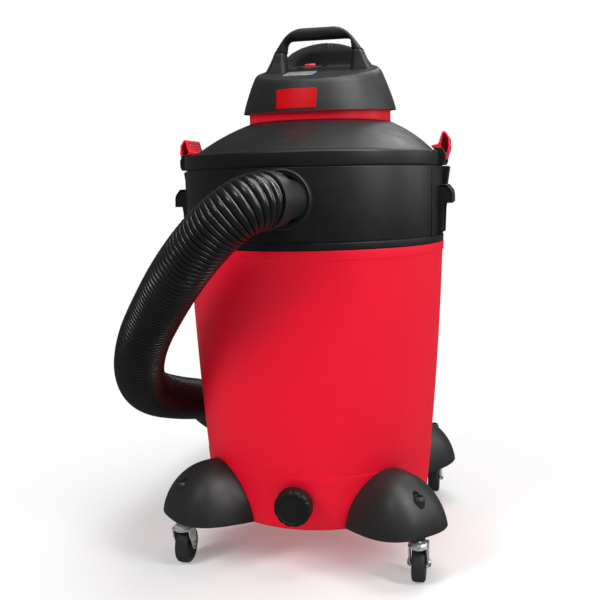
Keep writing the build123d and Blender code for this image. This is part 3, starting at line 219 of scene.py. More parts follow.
RED, BLACK = (0.74, 0.006, 0.026), (0.0066, 0.0066, 0.0070)
# Moulded plastics and rubber: colour, roughness, grain scale and depth, then what differs from the usual.
MOULDED = {
    "drum_red": (RED, 0.44, 700, 0.06, {"specular": 0.1, "wear": 0.02, "mottle": 0.03}),
    "ring_red": ((0.66, 0.006, 0.022), 0.42, 900, 0.05, {"specular": 0.12, "wear": 0.02, "mottle": 0.03}),
    "latch_red": ((0.74, 0.01, 0.03), 0.35, 1100, 0.05, {"coat": 0.1}),
    "rocker_red": ((0.7, 0.01, 0.02), 0.3, 1500, 0.03, {"coat": 0.2}),
    "badge": ((0.44, 0.002, 0.005), 0.38, 1500, 0.03, {"specular": 0.1, "mottle": 0.05}),
    "bezel": ((0.045, 0.045, 0.047), 0.4, 1500, 0.04, {}),
    "black_plastic": (BLACK, 0.44, 800, 0.14, {"specular": 0.24, "wear": 0.008}),
    "head_black": ((0.011, 0.011, 0.0114), 0.5, 900, 0.16, {"wear": 0.01}),
    "grip_black": ((0.0075, 0.0075, 0.008), 0.52, 1000, 0.22, {"wear": 0.008}),
    "port_black": ((0.012, 0.012, 0.0125), 0.4, 1000, 0.1, {"wear": 0.012}),
    "cuff_black": ((0.012, 0.012, 0.0122), 0.46, 1200, 0.18, {"wear": 0.012}),
    "hose_black": ((0.0055, 0.0055, 0.006), 0.3, 500, 0.05, {"specular": 0.4, "wear": 0.0}),
    "cap_black": ((0.009, 0.009, 0.0095), 0.5, 1100, 0.2, {"specular": 0.2, "wear": 0.01}),
    "foot_black": ((0.0165, 0.0165, 0.017), 0.46, 900, 0.18, {"wear": 0.012}),
    "wheel_black": ((0.022, 0.022, 0.023), 0.55, 700, 0.2, {"wear": 0.04}),
    "inner_plastic": ((0.03, 0.03, 0.032), 0.55, 700, 0.12, {}),
    "float_plastic": ((0.62, 0.61, 0.56), 0.45, 900, 0.06, {}),
    "rubber": ((0.011, 0.011, 0.011), 0.75, 1300, 0.3, {"specular": 0.3}),
    "carbon": ((0.03, 0.03, 0.03), 0.6, 1500, 0.2, {}),
}
MATERIALS = {name: moulded(name, *row[:4], **row[4]) for name, row in MOULDED.items()}
MATERIALS.update({
    "label": label_print("label"),
    "filter_paper": paper("filter_paper"),
    "foam": foam_cells("foam"),
    "zinc": metal("zinc", (0.78, 0.79, 0.8), 0.3, spangle=0.3, metallic=0.55),
    "steel": metal("steel", (0.58, 0.58, 0.59), 0.32, brushed=1.0),
    "aluminium": metal("aluminium", (0.82, 0.82, 0.83), 0.4, brushed=1.0, spangle=0.1),
    "copper_windings": windings("copper_windings"),
})


# ---------------------------------------------------------------- building meshes, in millimetres
def frame_at(origin, z_dir, x_dir=(1, 0, 0)):
    """Matrix that puts local X, Y, Z at origin, with Z along z_dir and X near x_dir."""
    z = Vector(z_dir).normalized()
    x = Vector(x_dir)
    x = (x - z * x.dot(z)).normalized()
    made = Matrix((x, z.cross(x), z)).transposed().to_4x4()
    made.translation = Vector(origin)
    return made


def moved(shape, matrix):
    """A shape's points through a matrix."""
    return [matrix @ Vector(p) for p in shape[0]], shape[1]


def merged(*shapes):
    """Several shapes as one list of points and faces."""
    points, faces = [], []
    for shape_points, shape_faces in shapes:
        start = len(points)
        points += list(shape_points)
        faces += [tuple(start + i for i in face) for face in shape_faces]
    return points, faces


def turns(count):
    """Even angles round a circle."""
    return [2 * math.pi * k / count for k in range(count)]


def lathe(profile, closed=True, segments=160, centre=(0, 0), ripple=None):
    """A profile of (radius, z) turned round an upright axis. ripple(angle, radius, z) changes the radius."""
    points, rings = [], []
    for r, z in profile:
        if r < 1e-6:
            rings.append([len(points)] * segments)
            points.append((centre[0], centre[1], z))
            continue
        rings.append(list(range(len(points), len(points) + segments)))
        for angle in turns(segments):
            reach = ripple(angle, r, z) if ripple else r
            points.append((centre[0] + reach * math.cos(angle), centre[1] + reach * math.sin(angle), z))
    faces = []
    pairs = list(zip(rings, rings[1:] + rings[:1])) if closed else list(zip(rings, rings[1:]))
    for a, b in pairs:
        for k in range(segments):
            n = (k + 1) % segments
            face = []
            for index in (a[k], a[n], b[n], b[k]):
                if index not in face:
                    face.append(index)
            if len(face) > 2:
                faces.append(tuple(face))
    return points, faces


def rounded(corners, radii, closed=True, steps=5):
    """A polygon with its corners rounded. radii is one number or one a corner."""
    if not hasattr(radii, "__len__"):
        radii = [radii] * len(corners)
    line = []
    count = len(corners)
    for i, (corner, radius) in enumerate(zip(corners, radii)):
        if radius <= 0 or (not closed and i in (0, count - 1)):
            line.append(tuple(corner))
            continue
        here = Vector((corner[0], corner[1]))
        before = Vector(corners[i - 1][:2]) - here
        after = Vector(corners[(i + 1) % count][:2]) - here
        half = before.angle(after) / 2
        reach = min(radius / math.tan(half), 0.49 * before.length, 0.49 * after.length)
        radius = reach * math.tan(half)
        centre = here + (before.normalized() + after.normalized()).normalized() * (radius / math.sin(half))
        start = here + before.normalized() * reach - centre
        end = here + after.normalized() * reach - centre
        sweep = math.atan2(start.x * end.y - start.y * end.x, start.dot(end))
        for k in range(steps + 1):
            line.append(tuple(centre + Matrix.Rotation(sweep * k / steps, 2) @ start))
    return line


def turned(profile, radii, place=None, segments=128, steps=3, closed=True, **more):
    """A profile with its corners rounded, turned round an upright axis and then put in its place."""
    shape = lathe(rounded(profile, radii, closed, steps), closed, segments, **more)
    return moved(shape, place) if place else shape


def round_rect(width, height, radius, centre=(0, 0), steps=5):
    """A rectangle with round corners."""
    w, h = width / 2, height / 2
    corners = [(-w, -h), (w, -h), (w, h), (-w, h)]
    return rounded([(x + centre[0], y + centre[1]) for x, y in corners], radius, steps=steps)


def circle(radius, centre=(0, 0), steps=40):
    """A circle as a polygon."""
    return [(centre[0] + radius * math.cos(a), centre[1] + radius * math.sin(a)) for a in turns(steps)]


def curve_mesh(curve):
    """The points in metres and the faces that Blender gives for a curve."""
    helper = bpy.data.objects.new("curve", curve)
    bpy.context.scene.collection.objects.link(helper)
    mesh = bpy.data.meshes.new_from_object(helper.evaluated_get(bpy.context.evaluated_depsgraph_get()))
    shape = [v.co.copy() for v in mesh.vertices], [tuple(p.vertices) for p in mesh.polygons]
    bpy.data.objects.remove(helper)
    bpy.data.curves.remove(curve)
    bpy.data.meshes.remove(mesh)
    return shape


def plate(loops, half, bevel, matrix=None, resolution=2):
    """A prism of closed outlines, with holes, half its thickness to each side of local XY, its edges rounded."""
    curve = bpy.data.curves.new("outline", "CURVE")
    curve.dimensions, curve.fill_mode = "2D", "BOTH"
    curve.extrude, curve.bevel_depth = (half - bevel) * MM, bevel * MM
    curve.bevel_resolution, curve.offset = resolution, -bevel * MM
    for loop in loops:
        spline = curve.splines.new("POLY")
        spline.points.add(len(loop) - 1)
        for point, (x, y) in zip(spline.points, loop):
            point.co = (x * MM, y * MM, 0, 1)
        spline.use_cyclic_u = True
    points, faces = curve_mesh(curve)
    shape = [p / MM for p in points], faces
    return moved(shape, matrix) if matrix else shape


def upright_plane(side):
    """Puts a plate's X outward to one side of the object and its Y up."""
    return Matrix(((side, 0, 0, 0), (0, 0, -1, 0), (0, 1, 0, 0), (0, 0, 0, 1)))


def side_plate(side, loops, half, bevel, y=0.0, **more):
    """A plate that stands upright at y, its local X outward to one side of the object."""
    return plate(loops, half, bevel, Matrix.Translation((0, y, 0)) @ upright_plane(side), **more)


def loft(sections, cap=True):
    """Closed sections of equal point counts joined in order."""
    count = len(sections[0])
    points = [p for section in sections for p in section]
    faces = []
    for s in range(len(sections) - 1):
        for k in range(count):
            n = (k + 1) % count
            faces.append((s * count + k, s * count + n, (s + 1) * count + n, (s + 1) * count + k))
    if cap:
        faces.append(tuple(reversed(range(count))))
        faces.append(tuple(range((len(sections) - 1) * count, len(sections) * count)))
    return points, faces


def solid(name, shape):
    """An object made of a shape in millimetres, its doubled points merged and its faces turned outward."""
    mesh = bpy.data.meshes.new(name)
    mesh.from_pydata([Vector(p) * MM for p in shape[0]], [], shape[1])
    work = bmesh.new()
    work.from_mesh(mesh)
    bmesh.ops.remove_doubles(work, verts=work.verts, dist=1e-6)
    bmesh.ops.recalc_face_normals(work, faces=work.faces)
    work.to_mesh(mesh)
    work.free()
    made = bpy.data.objects.new(name, mesh)
    bpy.context.scene.collection.objects.link(made)
    return made


def smoothed(mesh, sharp):
    """Smooth shading, with edges kept sharp above an angle in degrees."""
    mesh.shade_smooth()
    mesh.set_sharp_from_angle(angle=math.radians(sharp))


def piece(name, shape, slot, body, replaces=(), sharp=38.0, weighted=False):
    """Makes the mesh piece: smooth, with its material, riding on its body."""
    made = solid(name, shape)
    smoothed(made.data, sharp)
    made.data.materials.append(MATERIALS[slot])
    if weighted:
        flat = made.modifiers.new("flat faces stay flat", "WEIGHTED_NORMAL")
        flat.keep_sharp = True
    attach(made, body)
    if replaces:
        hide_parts(*replaces)
    return made


def carve(target, cutter_shape):
    """Cuts a closed shape out of a piece and keeps the result as its mesh."""
    cutter = solid("cutter", cutter_shape)
    change = target.modifiers.new("carve", "BOOLEAN")
    change.object, change.operation, change.solver = cutter, "DIFFERENCE", "EXACT"
    bpy.context.view_layer.update()
    target.data = bpy.data.meshes.new_from_object(target.evaluated_get(bpy.context.evaluated_depsgraph_get()))
    target.modifiers.remove(change)
    smoothed(target.data, 38)
    bpy.data.objects.remove(cutter)


# ---------------------------------------------------------------- hose: one free cord from the inlet to its end cuff
exit_point = (PORT_POINT + PORT_OUT * CUFF_END) * MM
first_bend = (PORT_POINT + PORT_OUT * (CUFF_END + 16)) * MM
HOSE_ROUTE = [
    tuple(exit_point),
    tuple(first_bend),
    (-0.044, -0.265, 0.491),
    (-0.080, -0.262, 0.461),
    (-0.122, -0.243, 0.418),
    (-0.167, -0.202, 0.369),
    (-0.207, -0.169, 0.317),
    (-0.238, -0.120, 0.260),
    (-0.256, -0.042, 0.211),
    (-0.245, 0.055, 0.177),
    (-0.238, 0.150, 0.151),
    (-0.254, 0.240, 0.106),
    (-0.260, 0.325, 0.066),
    (-0.256, 0.420, 0.036),
    (-0.230, 0.520, 0.036),
    (-0.160, 0.600, 0.036),
    (-0.060, 0.620, 0.036),
    (0.022, 0.570, 0.036),
    (0.052, 0.480, 0.036),
    (0.020, 0.395, 0.036),
    (-0.050, 0.352, 0.036),
    (-0.118, 0.374, 0.036),
]
RIB_PITCH, RIB_DEPTH, RINGS_A_RIB, HOSE_SIDES = 6.4, 3.4, 8, 64


def route_points():
    """The centreline, read from the route's NURBS spline, in metres."""
    curve = bpy.data.curves.new("hose_route", "CURVE")
    curve.dimensions, curve.resolution_u = "3D", 48
    spline = curve.splines.new("NURBS")
    spline.points.add(len(HOSE_ROUTE) - 1)
    for point, place in zip(spline.points, HOSE_ROUTE):
        point.co = (*place, 1)
    spline.order_u = 3
    spline.use_endpoint_u = True
    return curve_mesh(curve)[0]


def resampled(line, count):
    """Count points at even spacing along a line, with both ends."""
    line = [Vector(p) for p in line]
    lengths = [0.0]
    for a, b in zip(line, line[1:]):
        lengths.append(lengths[-1] + (b - a).length)
    made, k = [], 0
    for i in range(count):
        along = lengths[-1] * i / (count - 1)
        while k < len(line) - 2 and lengths[k + 1] < along:
            k += 1
        share = (along - lengths[k]) / max(lengths[k + 1] - lengths[k], 1e-12)
        made.append(line[k].lerp(line[k + 1], share))
    return made


def even_steps(line, step):
    """Points along a line at even steps, with the direction at each."""
    count = round(sum((b - a).length for a, b in zip(line, line[1:])) / step)
    places, reach = resampled(line, count + 1), 3
    ways = [(places[min(i + reach, count)] - places[max(i - reach, 0)]).normalized() for i in range(count + 1)]
    return places, ways


def carried_frames(ways):
    """A sideways direction at each point of a line, carried along it without twist."""
    side = ways[0].orthogonal().normalized()
    sides = []
    for way in ways:
        side = (side - way * side.dot(way)).normalized()
        sides.append(side)
    return sides


hose_line = route_points()


def build_hose():
    """Corrugated tube: one helical rib wound round the route's spline, with rows of points that follow the rib."""
    places, ways = even_steps(hose_line, RIB_PITCH / RINGS_A_RIB * MM)
    sides = carried_frames(ways)
    last = len(places) - 1
    points, faces = [], []
    rows = range(-RINGS_A_RIB, last + 1)
    for row in rows:
        phase = (row % RINGS_A_RIB) / RINGS_A_RIB
        crest = math.sqrt(max(0.0, 1 - (2 * abs(phase - 0.5)) ** 2.2))
        for k in range(HOSE_SIDES):
            along = min(max(row + k * RINGS_A_RIB / HOSE_SIDES, 0.0), float(last))
            i = min(int(along), last - 1)
            share = along - i
            way, side = ways[i].lerp(ways[i + 1], share), sides[i].lerp(sides[i + 1], share)
            fade = min(1.0, along / 6, (last - along) / 6)
            reach = (HOSE_R - RIB_DEPTH + RIB_DEPTH * crest * fade) * MM
            angle = 2 * math.pi * k / HOSE_SIDES
            centre = places[i].lerp(places[i + 1], share)
            points.append((centre + (side * math.cos(angle) + way.cross(side) * math.sin(angle)) * reach) / MM)
    for row in range(len(rows) - 1):
        for k in range(HOSE_SIDES):
            next_row, n = (row, k + 1) if k + 1 < HOSE_SIDES else (row + RINGS_A_RIB, 0)
            if next_row + 1 < len(rows):
                here, there = row * HOSE_SIDES, next_row * HOSE_SIDES
                faces.append((here + k, there + n, there + HOSE_SIDES + n, here + HOSE_SIDES + k))
    return points, faces


hose = piece("hose_tube", build_hose(), "hose_black", "tank", ["hose"], sharp=80)

# ---------------------------------------------------------------- drum and collar
def drum_r(z):
    """Radius of the drum's side at a height."""
    (r0, z0), (r1, z1), (r2, z2) = DRUM_SIDE
    a = r0 * (z - z1) * (z - z2) / ((z0 - z1) * (z0 - z2))
    b = r1 * (z - z0) * (z - z2) / ((z1 - z0) * (z1 - z2))
    c = r2 * (z - z0) * (z - z1) / ((z2 - z0) * (z2 - z1))
    return a + b + c


STEP_Z, STEP_OUT = 136.0, 0.65
BAND_Z = DRUM_TOP_Z - 13


def drum_profile():
    """The drum's wall, with its foot radius, faint ledge near the base and rolled rim band."""
    low = rounded([(120, 56.5), (160.2, 56.5), (drum_r(100) + STEP_OUT, 100)], [0, 15, 0], closed=False, steps=10)
    line = [(0, 56.5), (60, 56.5)] + low
    line += [(drum_r(z) + STEP_OUT, z) for z in (110, 118, 126, STEP_Z - 1)]
    line += [(drum_r(STEP_Z) + STEP_OUT * 0.8, STEP_Z), (drum_r(STEP_Z) + 0.15, STEP_Z + 0.6)]
    line += [(drum_r(STEP_Z + 2), STEP_Z + 2)]
    line += [(drum_r(z), z) for z in range(144, int(BAND_Z) - 3, 12)]
    band = [
        (drum_r(BAND_Z - 1.5), BAND_Z - 1.5), (184.0, BAND_Z - 0.3), (185.5, BAND_Z + 1.2),
        (185.6, DRUM_TOP_Z - 0.2), (181.5, DRUM_TOP_Z), (181.5, 450), (178.5, 450), (178.5, 430),
    ]
    line += rounded(band, [0, 0.4, 0.8, 0.8, 0.3, 0.6, 0.6, 0], closed=False, steps=3)
    line += [(drum_r(z) - 3, z) for z in range(420, 90, -15)]
    line += rounded([(drum_r(85) - 3, 85), (157.0, 60), (110, 60)], [0, 12, 0], closed=False, steps=8)
    return line + [(50, 60), (0, 60)]


piece("drum_shell", lathe(drum_profile(), closed=False, segments=256), "drum_red", "tank", ["drum"])


# the collar ring, with a groove above its base band
collar_profile = [
    (182, 439.2), (185.2, 439.2), (185.25, 447.6), (184.2, 448.4), (184.2, 449.6), (185.3, 450.4),
    (186.0, COLLAR_TOP_Z), (182, COLLAR_TOP_Z),
]
collar_shape = turned(collar_profile, [0.5, 0.8, 0.4, 0.3, 0.3, 0.4, 1.0, 0.6], segments=256)
collar = piece("collar_ring", collar_shape, "black_plastic", "tank", ["collar"])
port_frame = frame_at(PORT_POINT, PORT_OUT, PORT_SIDE)


def turned_cylinder(radius, start, end, matrix, segments=96):
    """A closed cylinder along a frame's Z, for cutting."""
    return moved(lathe([(0, start), (radius, start), (radius, end), (0, end)], closed=False, segments=segments), matrix)


inlet_frame = frame_at((-4, 0, 503.5), (0, -1, 0))
carve(collar, turned_cylinder(34.6, 150, 210, inlet_frame))


def side_pocket(side, name):
    """Hooded carrying pocket, latch lug and tapering ribs on one side of the collar."""
    hood = rounded(
        [(181.6, 518), (192, 518), (199.5, 508), (200, 492.5), (197, 492.5), (196.6, 505), (190, 513), (181.6, 513)],
        [0, 4, 12, 1, 0.8, 8, 3, 0])
    end = rounded([(177.6, 517.6), (191.8, 517.6), (199.1, 507.8), (199.6, 492.5), (177.6, 492.5)], [0, 4, 12, 1, 0])
    rib = rounded([(177.6, 493), (189, 493), (187.6, 484), (186.4, 449), (177.6, 449)], [0, 1, 8, 1, 0])
    lug = rounded([(182.4, 517), (190.4, 517), (194.0, 542.8), (182.4, 542.8)], [0, 1, 1.5, 0])
    bridge = rounded([(184, 534), (192.2, 534), (193.2, 542.4), (184, 542.4)], [0, 1.2, 1.5, 0])
    backing = rounded([(184, 513), (188.6, 513), (188.6, 541.2), (184, 541.2)], [0, 0.8, 1, 0])
    shapes = [side_plate(side, [hood], 45, 1.4)]
    for y in (-43.2, 43.2):
        shapes += [side_plate(side, [shape], 1.8, 0.8, y) for shape in (end, rib)]
    shapes += [side_plate(side, [lug], 7, 1.2, y) for y in (-13, 13)]
    shapes += [side_plate(side, [bridge], 8, 1.0), side_plate(side, [backing], 8, 0.6)]
    for y in (-1, 1):
        turn = math.radians(21 * y)
        outward = Vector((side * math.cos(turn), math.sin(turn), 0))
        place = frame_at(outward * 185.4 + Vector((0, 0, 495.5)), outward, outward.cross((0, 0, 1)))
        shapes.append(plate([round_rect(3.4, 93, 1.2, steps=2)], 1.3, 0.6, place))
    piece(name, merged(*shapes), "black_plastic", "tank", weighted=True)


side_pocket(-1, "pocket_left")
side_pocket(1, "pocket_right")

# ---------------------------------------------------------------- inlet flange and hose cuff
flange_profile = [(30.0, 172), (30.0, 188.6), (31.4, 191.0), (36.8, 193.6), (38.0, 192.6), (38.8, 186), (38.8, 172)]
piece(
    "inlet_flange",
    turned(flange_profile, [0.4, 0.8, 0.6, 0.6, 1.0, 2.0, 0.4], inlet_frame, steps=4),
    "port_black", "tank", ["inlet_fitting"],
)


def build_cuff():
    """Hose cuff: spigot, gap to the flange, grip sleeve with a raised grip panel, and a lip over the hose."""
    profile = [
        (23, -8), (25.6, -8), (26.2, 26.5), (31.4, 27.2), (33.0, 28.8), (34.6, 48.6), (34.2, 49.4), (34.4, 50.4),
        (36.2, 51.0), (36.2, 54.4), (35.3, 55.4), (33.4, 55.4), (23, 50),
    ]
    shapes = [turned(profile, [0.5, 0.6, 0.5, 0.6, 1.0, 0.4, 0.2, 0.2, 0.5, 0.7, 0.4, 0.2, 0.5])]
    bar = plate([round_rect(15, 0.9, 0.4, steps=2)], 0.5, 0.3)
    bars = [moved(bar, Matrix.Translation((0, y, 1.3))) for y in (-4, -2, 0, 2, 4)]
    grip = merged(plate([round_rect(17, 11.5, 3, steps=4)], 1.4, 0.6), *bars)
    for turn in (math.radians(75), math.radians(255)):
        out = Vector((math.cos(turn), math.sin(turn), 0))
        place = frame_at(out * 33.8 + Vector((0, 0, 38.6)), out, (0, 0, 1))
        points, faces = moved(grip, place @ Matrix.Rotation(math.radians(90), 4, "Z"))
        bent = []
        for p in points:
            around, flat = math.atan2(p.y, p.x), p.dot(out)
            bent.append((flat * math.cos(around), flat * math.sin(around), p.z))
        shapes.append((bent, faces))
    return moved(merged(*shapes), port_frame)


cuff = piece("hose_cuff_sleeve", build_cuff(), "cuff_black", "tank", ["hose_cuff"])

hose_tip = Vector(HOSE_ROUTE[-1]) / MM
tip_way = (hose_tip - Vector(HOSE_ROUTE[-2]) / MM).normalized()
end_profile = [
    (28.6, 0.5), (33.0, -3), (35.2, -2), (35.2, 8), (34.6, 9), (34.6, 20), (33.6, 44), (32.8, 69.4), (29, 69.4),
]
end_cuff = piece(
    "hose_end_sleeve",
    turned(end_profile, [0.4, 0.6, 0.8, 0.6, 0.4, 0.6, 1, 0.8, 0.8], frame_at(hose_tip, tip_way, (0, 0, 1)), 96),
    "cuff_black", "tank", ["hose_end_cuff"],
)

# ---------------------------------------------------------------- drain cap
drain_frame = frame_at((0, 0, DRAIN_Z), (0, -1, 0))


def scallop(angle, radius, z):
    """Finger scallops round the cap's grip."""
    if radius < 21 or z < 173 or z > 189.5:
        return radius
    return radius - 1.5 * max(0.0, math.cos(12 * angle)) ** 3


cap_profile = [
    (17.5, 171.4), (25.2, 171.4), (25.4, 174), (25.4, 178), (25.3, 182), (25.0, 186), (23.6, 188.9), (21.0, 190.1),
    (19.4, 190.1), (18.4, 189.2), (9, 188.9), (0, 188.8), (0, 185.6), (17.5, 185.6),
]
piece(
    "drain_cap_grip",
    turned(cap_profile, [0.4, 0.6, 0, 0, 0, 1.5, 1.5, 0.7, 0.6, 0.6, 0, 0, 0, 0.5], drain_frame, 192, ripple=scallop),
    "cap_black", "drain_knob", ["drain_cap"],
)

# ---------------------------------------------------------------- feet
FOOT_CENTRE, FOOT_RADIAL, FOOT_WIDE, FOOT_HIGH, FOOT_BASE_Z, FOOT_WALL = 176.0, 73.5, 61.5, 82.0, 58.0, 3.0
RIM_START, RIM_START_Z, RIM_RISE = 160.0, 64.5, 0.09


def superellipse(angle, power):
    """A point of a round-cornered box of half size one."""
    c, t = math.cos(angle), math.sin(angle)
    return math.copysign(abs(c) ** (2 / power), c), math.copysign(abs(t) ** (2 / power), t)


def foot_surface(inset):
    """Rings of the foot's dome from its rising rim up, moved inward by inset: soft flat faces and a ridge outward."""
    rings = []
    levels = 28
    for i in range(levels):
        ring = []
        for angle in turns(112):
            across, along = superellipse(angle, 2.9)
            rim = RIM_START_Z + RIM_RISE * (FOOT_CENTRE + FOOT_RADIAL * across - RIM_START) - FOOT_BASE_Z
            low = max(rim, 0.5) / FOOT_HIGH
            lift = low + (1 - low) * math.sin(math.pi / 2 * i / levels)
            shrink = max(0.0, 1 - lift ** 1.95) ** (1 / 2.05)
            ridge = math.exp(-((math.sin(angle / 2) / 0.2) ** 2)) * 0.03 * math.sin(math.pi * lift)
            ring.append((
                (FOOT_RADIAL - inset) * (shrink + ridge) * across,
                (FOOT_WIDE - inset) * (shrink + ridge) * along,
                (FOOT_HIGH - inset) * lift,
            ))
        rings.append(ring)
    return rings


def foot_shell():
    """Outer and inner domes joined at a turned rim."""
    outer, inner = foot_surface(0), foot_surface(FOOT_WALL)
    rim = [
        [Vector(a).lerp(Vector(b), share) - Vector((0, 0, 0.7)) for a, b in zip(outer[0], inner[0])]
        for share in (0.15, 0.85)
    ]
    tops = [[(0, 0, FOOT_HIGH - inset)] * len(outer[0]) for inset in (0, FOOT_WALL)]
    return loft([tops[0], *reversed(outer), *rim, *inner, tops[1]], cap=False)


def drum_cutter():
    """The drum's outside, a little larger, as a solid."""
    side = [(drum_r(z) + 1.0, z) for z in [*range(61, 220, 8), 220]]
    return lathe([(0, 40), (drum_r(61) + 0.4, 40), *side, (0, 220)], closed=False, segments=256)


STEM_RADIAL = STEM_XY * math.sqrt(2)
for corner, (side_x, side_y) in CASTERS.items():
    outward = Matrix.Rotation(math.atan2(side_y, side_x), 4, "Z")
    place = outward @ Matrix.Translation((FOOT_CENTRE, 0, FOOT_BASE_Z))
    foot = piece(f"foot_dome_{corner}", moved(foot_shell(), place), "foot_black", "tank", [f"foot_{corner}"])
    carve(foot, drum_cutter())
    carve(foot, turned_cylinder(5.2, 100, 160, outward @ Matrix.Translation((STEM_RADIAL - 4, 0, 0)), 40))
    well_profile = [(5.3, 108), (5.3, 122), (8.2, 116), (9, 62), (4.3, 62), (4.3, 104)]
    well = turned(well_profile, [0.5, 0.5, 2, 1, 0.3, 1], segments=48)
    web = plate([round_rect(62, 40, 3, centre=(-34, 85))], 1.5, 0.5, upright_plane(1))
    socket = moved(merged(well, web), outward @ Matrix.Translation((STEM_RADIAL, 0, 0)))
    inner = piece(f"foot_socket_{corner}", socket, "foot_black", "tank")
    carve(inner, drum_cutter())
    tab = plate([round_rect(64, 36, 4)], 1.4, 0.6, outward @ Matrix.Translation((160, 0, 59.4)))
    piece(f"foot_tab_{corner}", tab, "foot_black", "tank")


# ---------------------------------------------------------------- casters
def caster(corner, x, y):
    """Zinc fork, riveted axle and moulded wheel of one caster."""
    axle = Vector((x, y + TRAIL, WHEEL_R))
    upright = Matrix(((0, 0, 1, 0), (1, 0, 0, 0), (0, 1, 0, 0), (0, 0, 0, 1)))
    leg_x = WHEEL_W / 2 + 3.0
    leg = rounded(
        [(y - 10, 55), (y - 7.5, 44), (y + TRAIL - 7, WHEEL_R + 1), (y + TRAIL - 3, WHEEL_R - 6.3),
         (y + TRAIL + 3, WHEEL_R - 6.3), (y + TRAIL + 7, WHEEL_R + 1), (y + 15, 44), (y + 15, 55)],
        [0, 6, 5, 5, 5, 5, 6, 0])
    shapes = [moved(plate([leg], 0.9, 0.35, upright), Matrix.Translation((x + s * leg_x, 0, 0))) for s in (-1, 1)]
    crown = round_rect(2 * leg_x + 2.6, 27, 5, centre=(x, y + 2))
    shapes.append(plate([crown], 1.1, 0.5, Matrix.Translation((0, 0, 53.9))))
    cup = [(4, 54.6), (11.5, 54.6), (11.8, 56), (10.6, 58.2), (8, 59), (4.2, 59), (4.2, 98), (3.0, 99.2), (0, 99.2)]
    shapes.append(turned(cup, [0, 0.5, 0.5, 1, 0.6, 0, 0.6, 0.4, 0], segments=48, closed=False, centre=(x, y)))
    ball_race = [(12.2, 52.6), (12.6, 51.4), (11.4, 50.2), (9.0, 50.2), (9.0, 52.6)]
    shapes.append(turned(ball_race, 0.5, segments=48, steps=2, centre=(x, y)))
    piece(f"fork_{corner}", merged(*shapes), "zinc", f"swivel_{corner}", [f"caster_fork_{corner}"], weighted=True)

    sideways = frame_at(axle, (1, 0, 0), (0, 1, 0))
    head = [(0, -15.6), (3.2, -15.5), (4.7, -14.6), (5.1, -13.9), (5.1, -13.3), (3, -13.3)]
    pin = rounded(head, [0, 1, 0.8, 0.3, 0.2, 0.2], closed=False, steps=3)
    line = pin + [(r, -z) for r, z in reversed(pin)]
    axle_shape = moved(lathe(line, closed=False, segments=40), sideways)
    piece(f"axle_{corner}", axle_shape, "steel", f"swivel_{corner}", [f"caster_axle_{corner}"])

    half = WHEEL_W / 2
    tread = [(3.1, 0), (6.6, 0), (7.4, 1.2), (8.2, 3.8), (16.4, 4.0), (18.0, 1.4), (18.8, 0.5), (22.6, 0.1),
             (24.7, 2.2), (25.0, 5)]
    radii = [0.2, 0.5, 0.8, 1, 1, 0.6, 0.4, 1.5, 1.5, 2]
    section = [(r, z - half) for r, z in tread] + [(r, half - z) for r, z in reversed(tread)]
    shapes = [turned(section, radii + radii[::-1], sideways, segments=96)]
    for k in range(6):
        spin = Matrix.Rotation(math.pi / 3 * k, 4, "Z")
        for s in (-1, 1):
            spoke = plate([round_rect(9.6, 2.0, 0.8, centre=(12.2, 0), steps=2)], 1.3, 0.4,
                          Matrix.Translation((0, 0, s * (half - 3.4))))
            shapes.append(moved(spoke, sideways @ spin))
    piece(f"wheel_{corner}", merged(*shapes), "wheel_black", f"wheel_{corner}", [f"caster_wheel_{corner}"])


for corner, (side_x, side_y) in CASTERS.items():
    caster(corner, side_x * STEM_XY, side_y * STEM_XY)

# ---------------------------------------------------------------- lid
def lid_shape():
    """Rim band, shoulder and leaning dome, with its hollow underside."""
    rim = rounded([(183.4, 545.4), (186.5, 544.4), (186.5, 563.4), (179, 564.6), (171, 565.0)], [0.6, 0.9, 3.2, 2, 0],
                  closed=False, steps=5)
    rows = [(r, z, 0.0) for r, z in rim]
    steps = 26
    for i in range(1, steps + 1):
        t = i / steps
        swell = 3.2 * math.sin(math.pi * t) ** 0.8
        rows.append((171 + (109 - 171) * t + swell, 565 + 44 * t + 0.6 * swell, HEAD_Y * t))
    rows += [(106.5, 610.0, HEAD_Y), (104, 610.2, HEAD_Y), (62, 609.0, HEAD_Y), (62, 605, HEAD_Y), (105, 605, HEAD_Y)]
    rows += [(105 + 61 * t / 10, 605 - 43.5 * t / 10, HEAD_Y * (1 - t / 10)) for t in range(1, 11)]
    rows += [(176, 560, 0), (176, 541, 0), (179, 541, 0), (179, 558, 0), (183.4, 558, 0)]
    sections = [[(r * math.cos(a), shift + r * math.sin(a), z) for a in turns(256)] for r, z, shift in rows]
    return loft([*sections, sections[0]], cap=False)


piece("lid_dome", lid_shape(), "black_plastic", "head", ["lid"], sharp=30)
for side, name in ((-1, "left"), (1, "right")):
    end_wall = rounded(
        [(174, 545), (187.4, 545), (189.8, 550), (189.8, 559), (186, 567), (174, 568)], [0, 2, 4, 4, 4, 0])
    shapes = [side_plate(side, [end_wall], 7.2, 1.2, y) for y in (-37.6, 37.6)]
    sill = rounded([(180, 544.8), (187.6, 544.8), (187.6, 549.2), (180, 549.2)], [0, 1, 1, 0])
    shapes.append(side_plate(side, [sill], 44, 0.8))
    piece(f"latch_bracket_{name}", merged(*shapes), "black_plastic", "head", weighted=True)

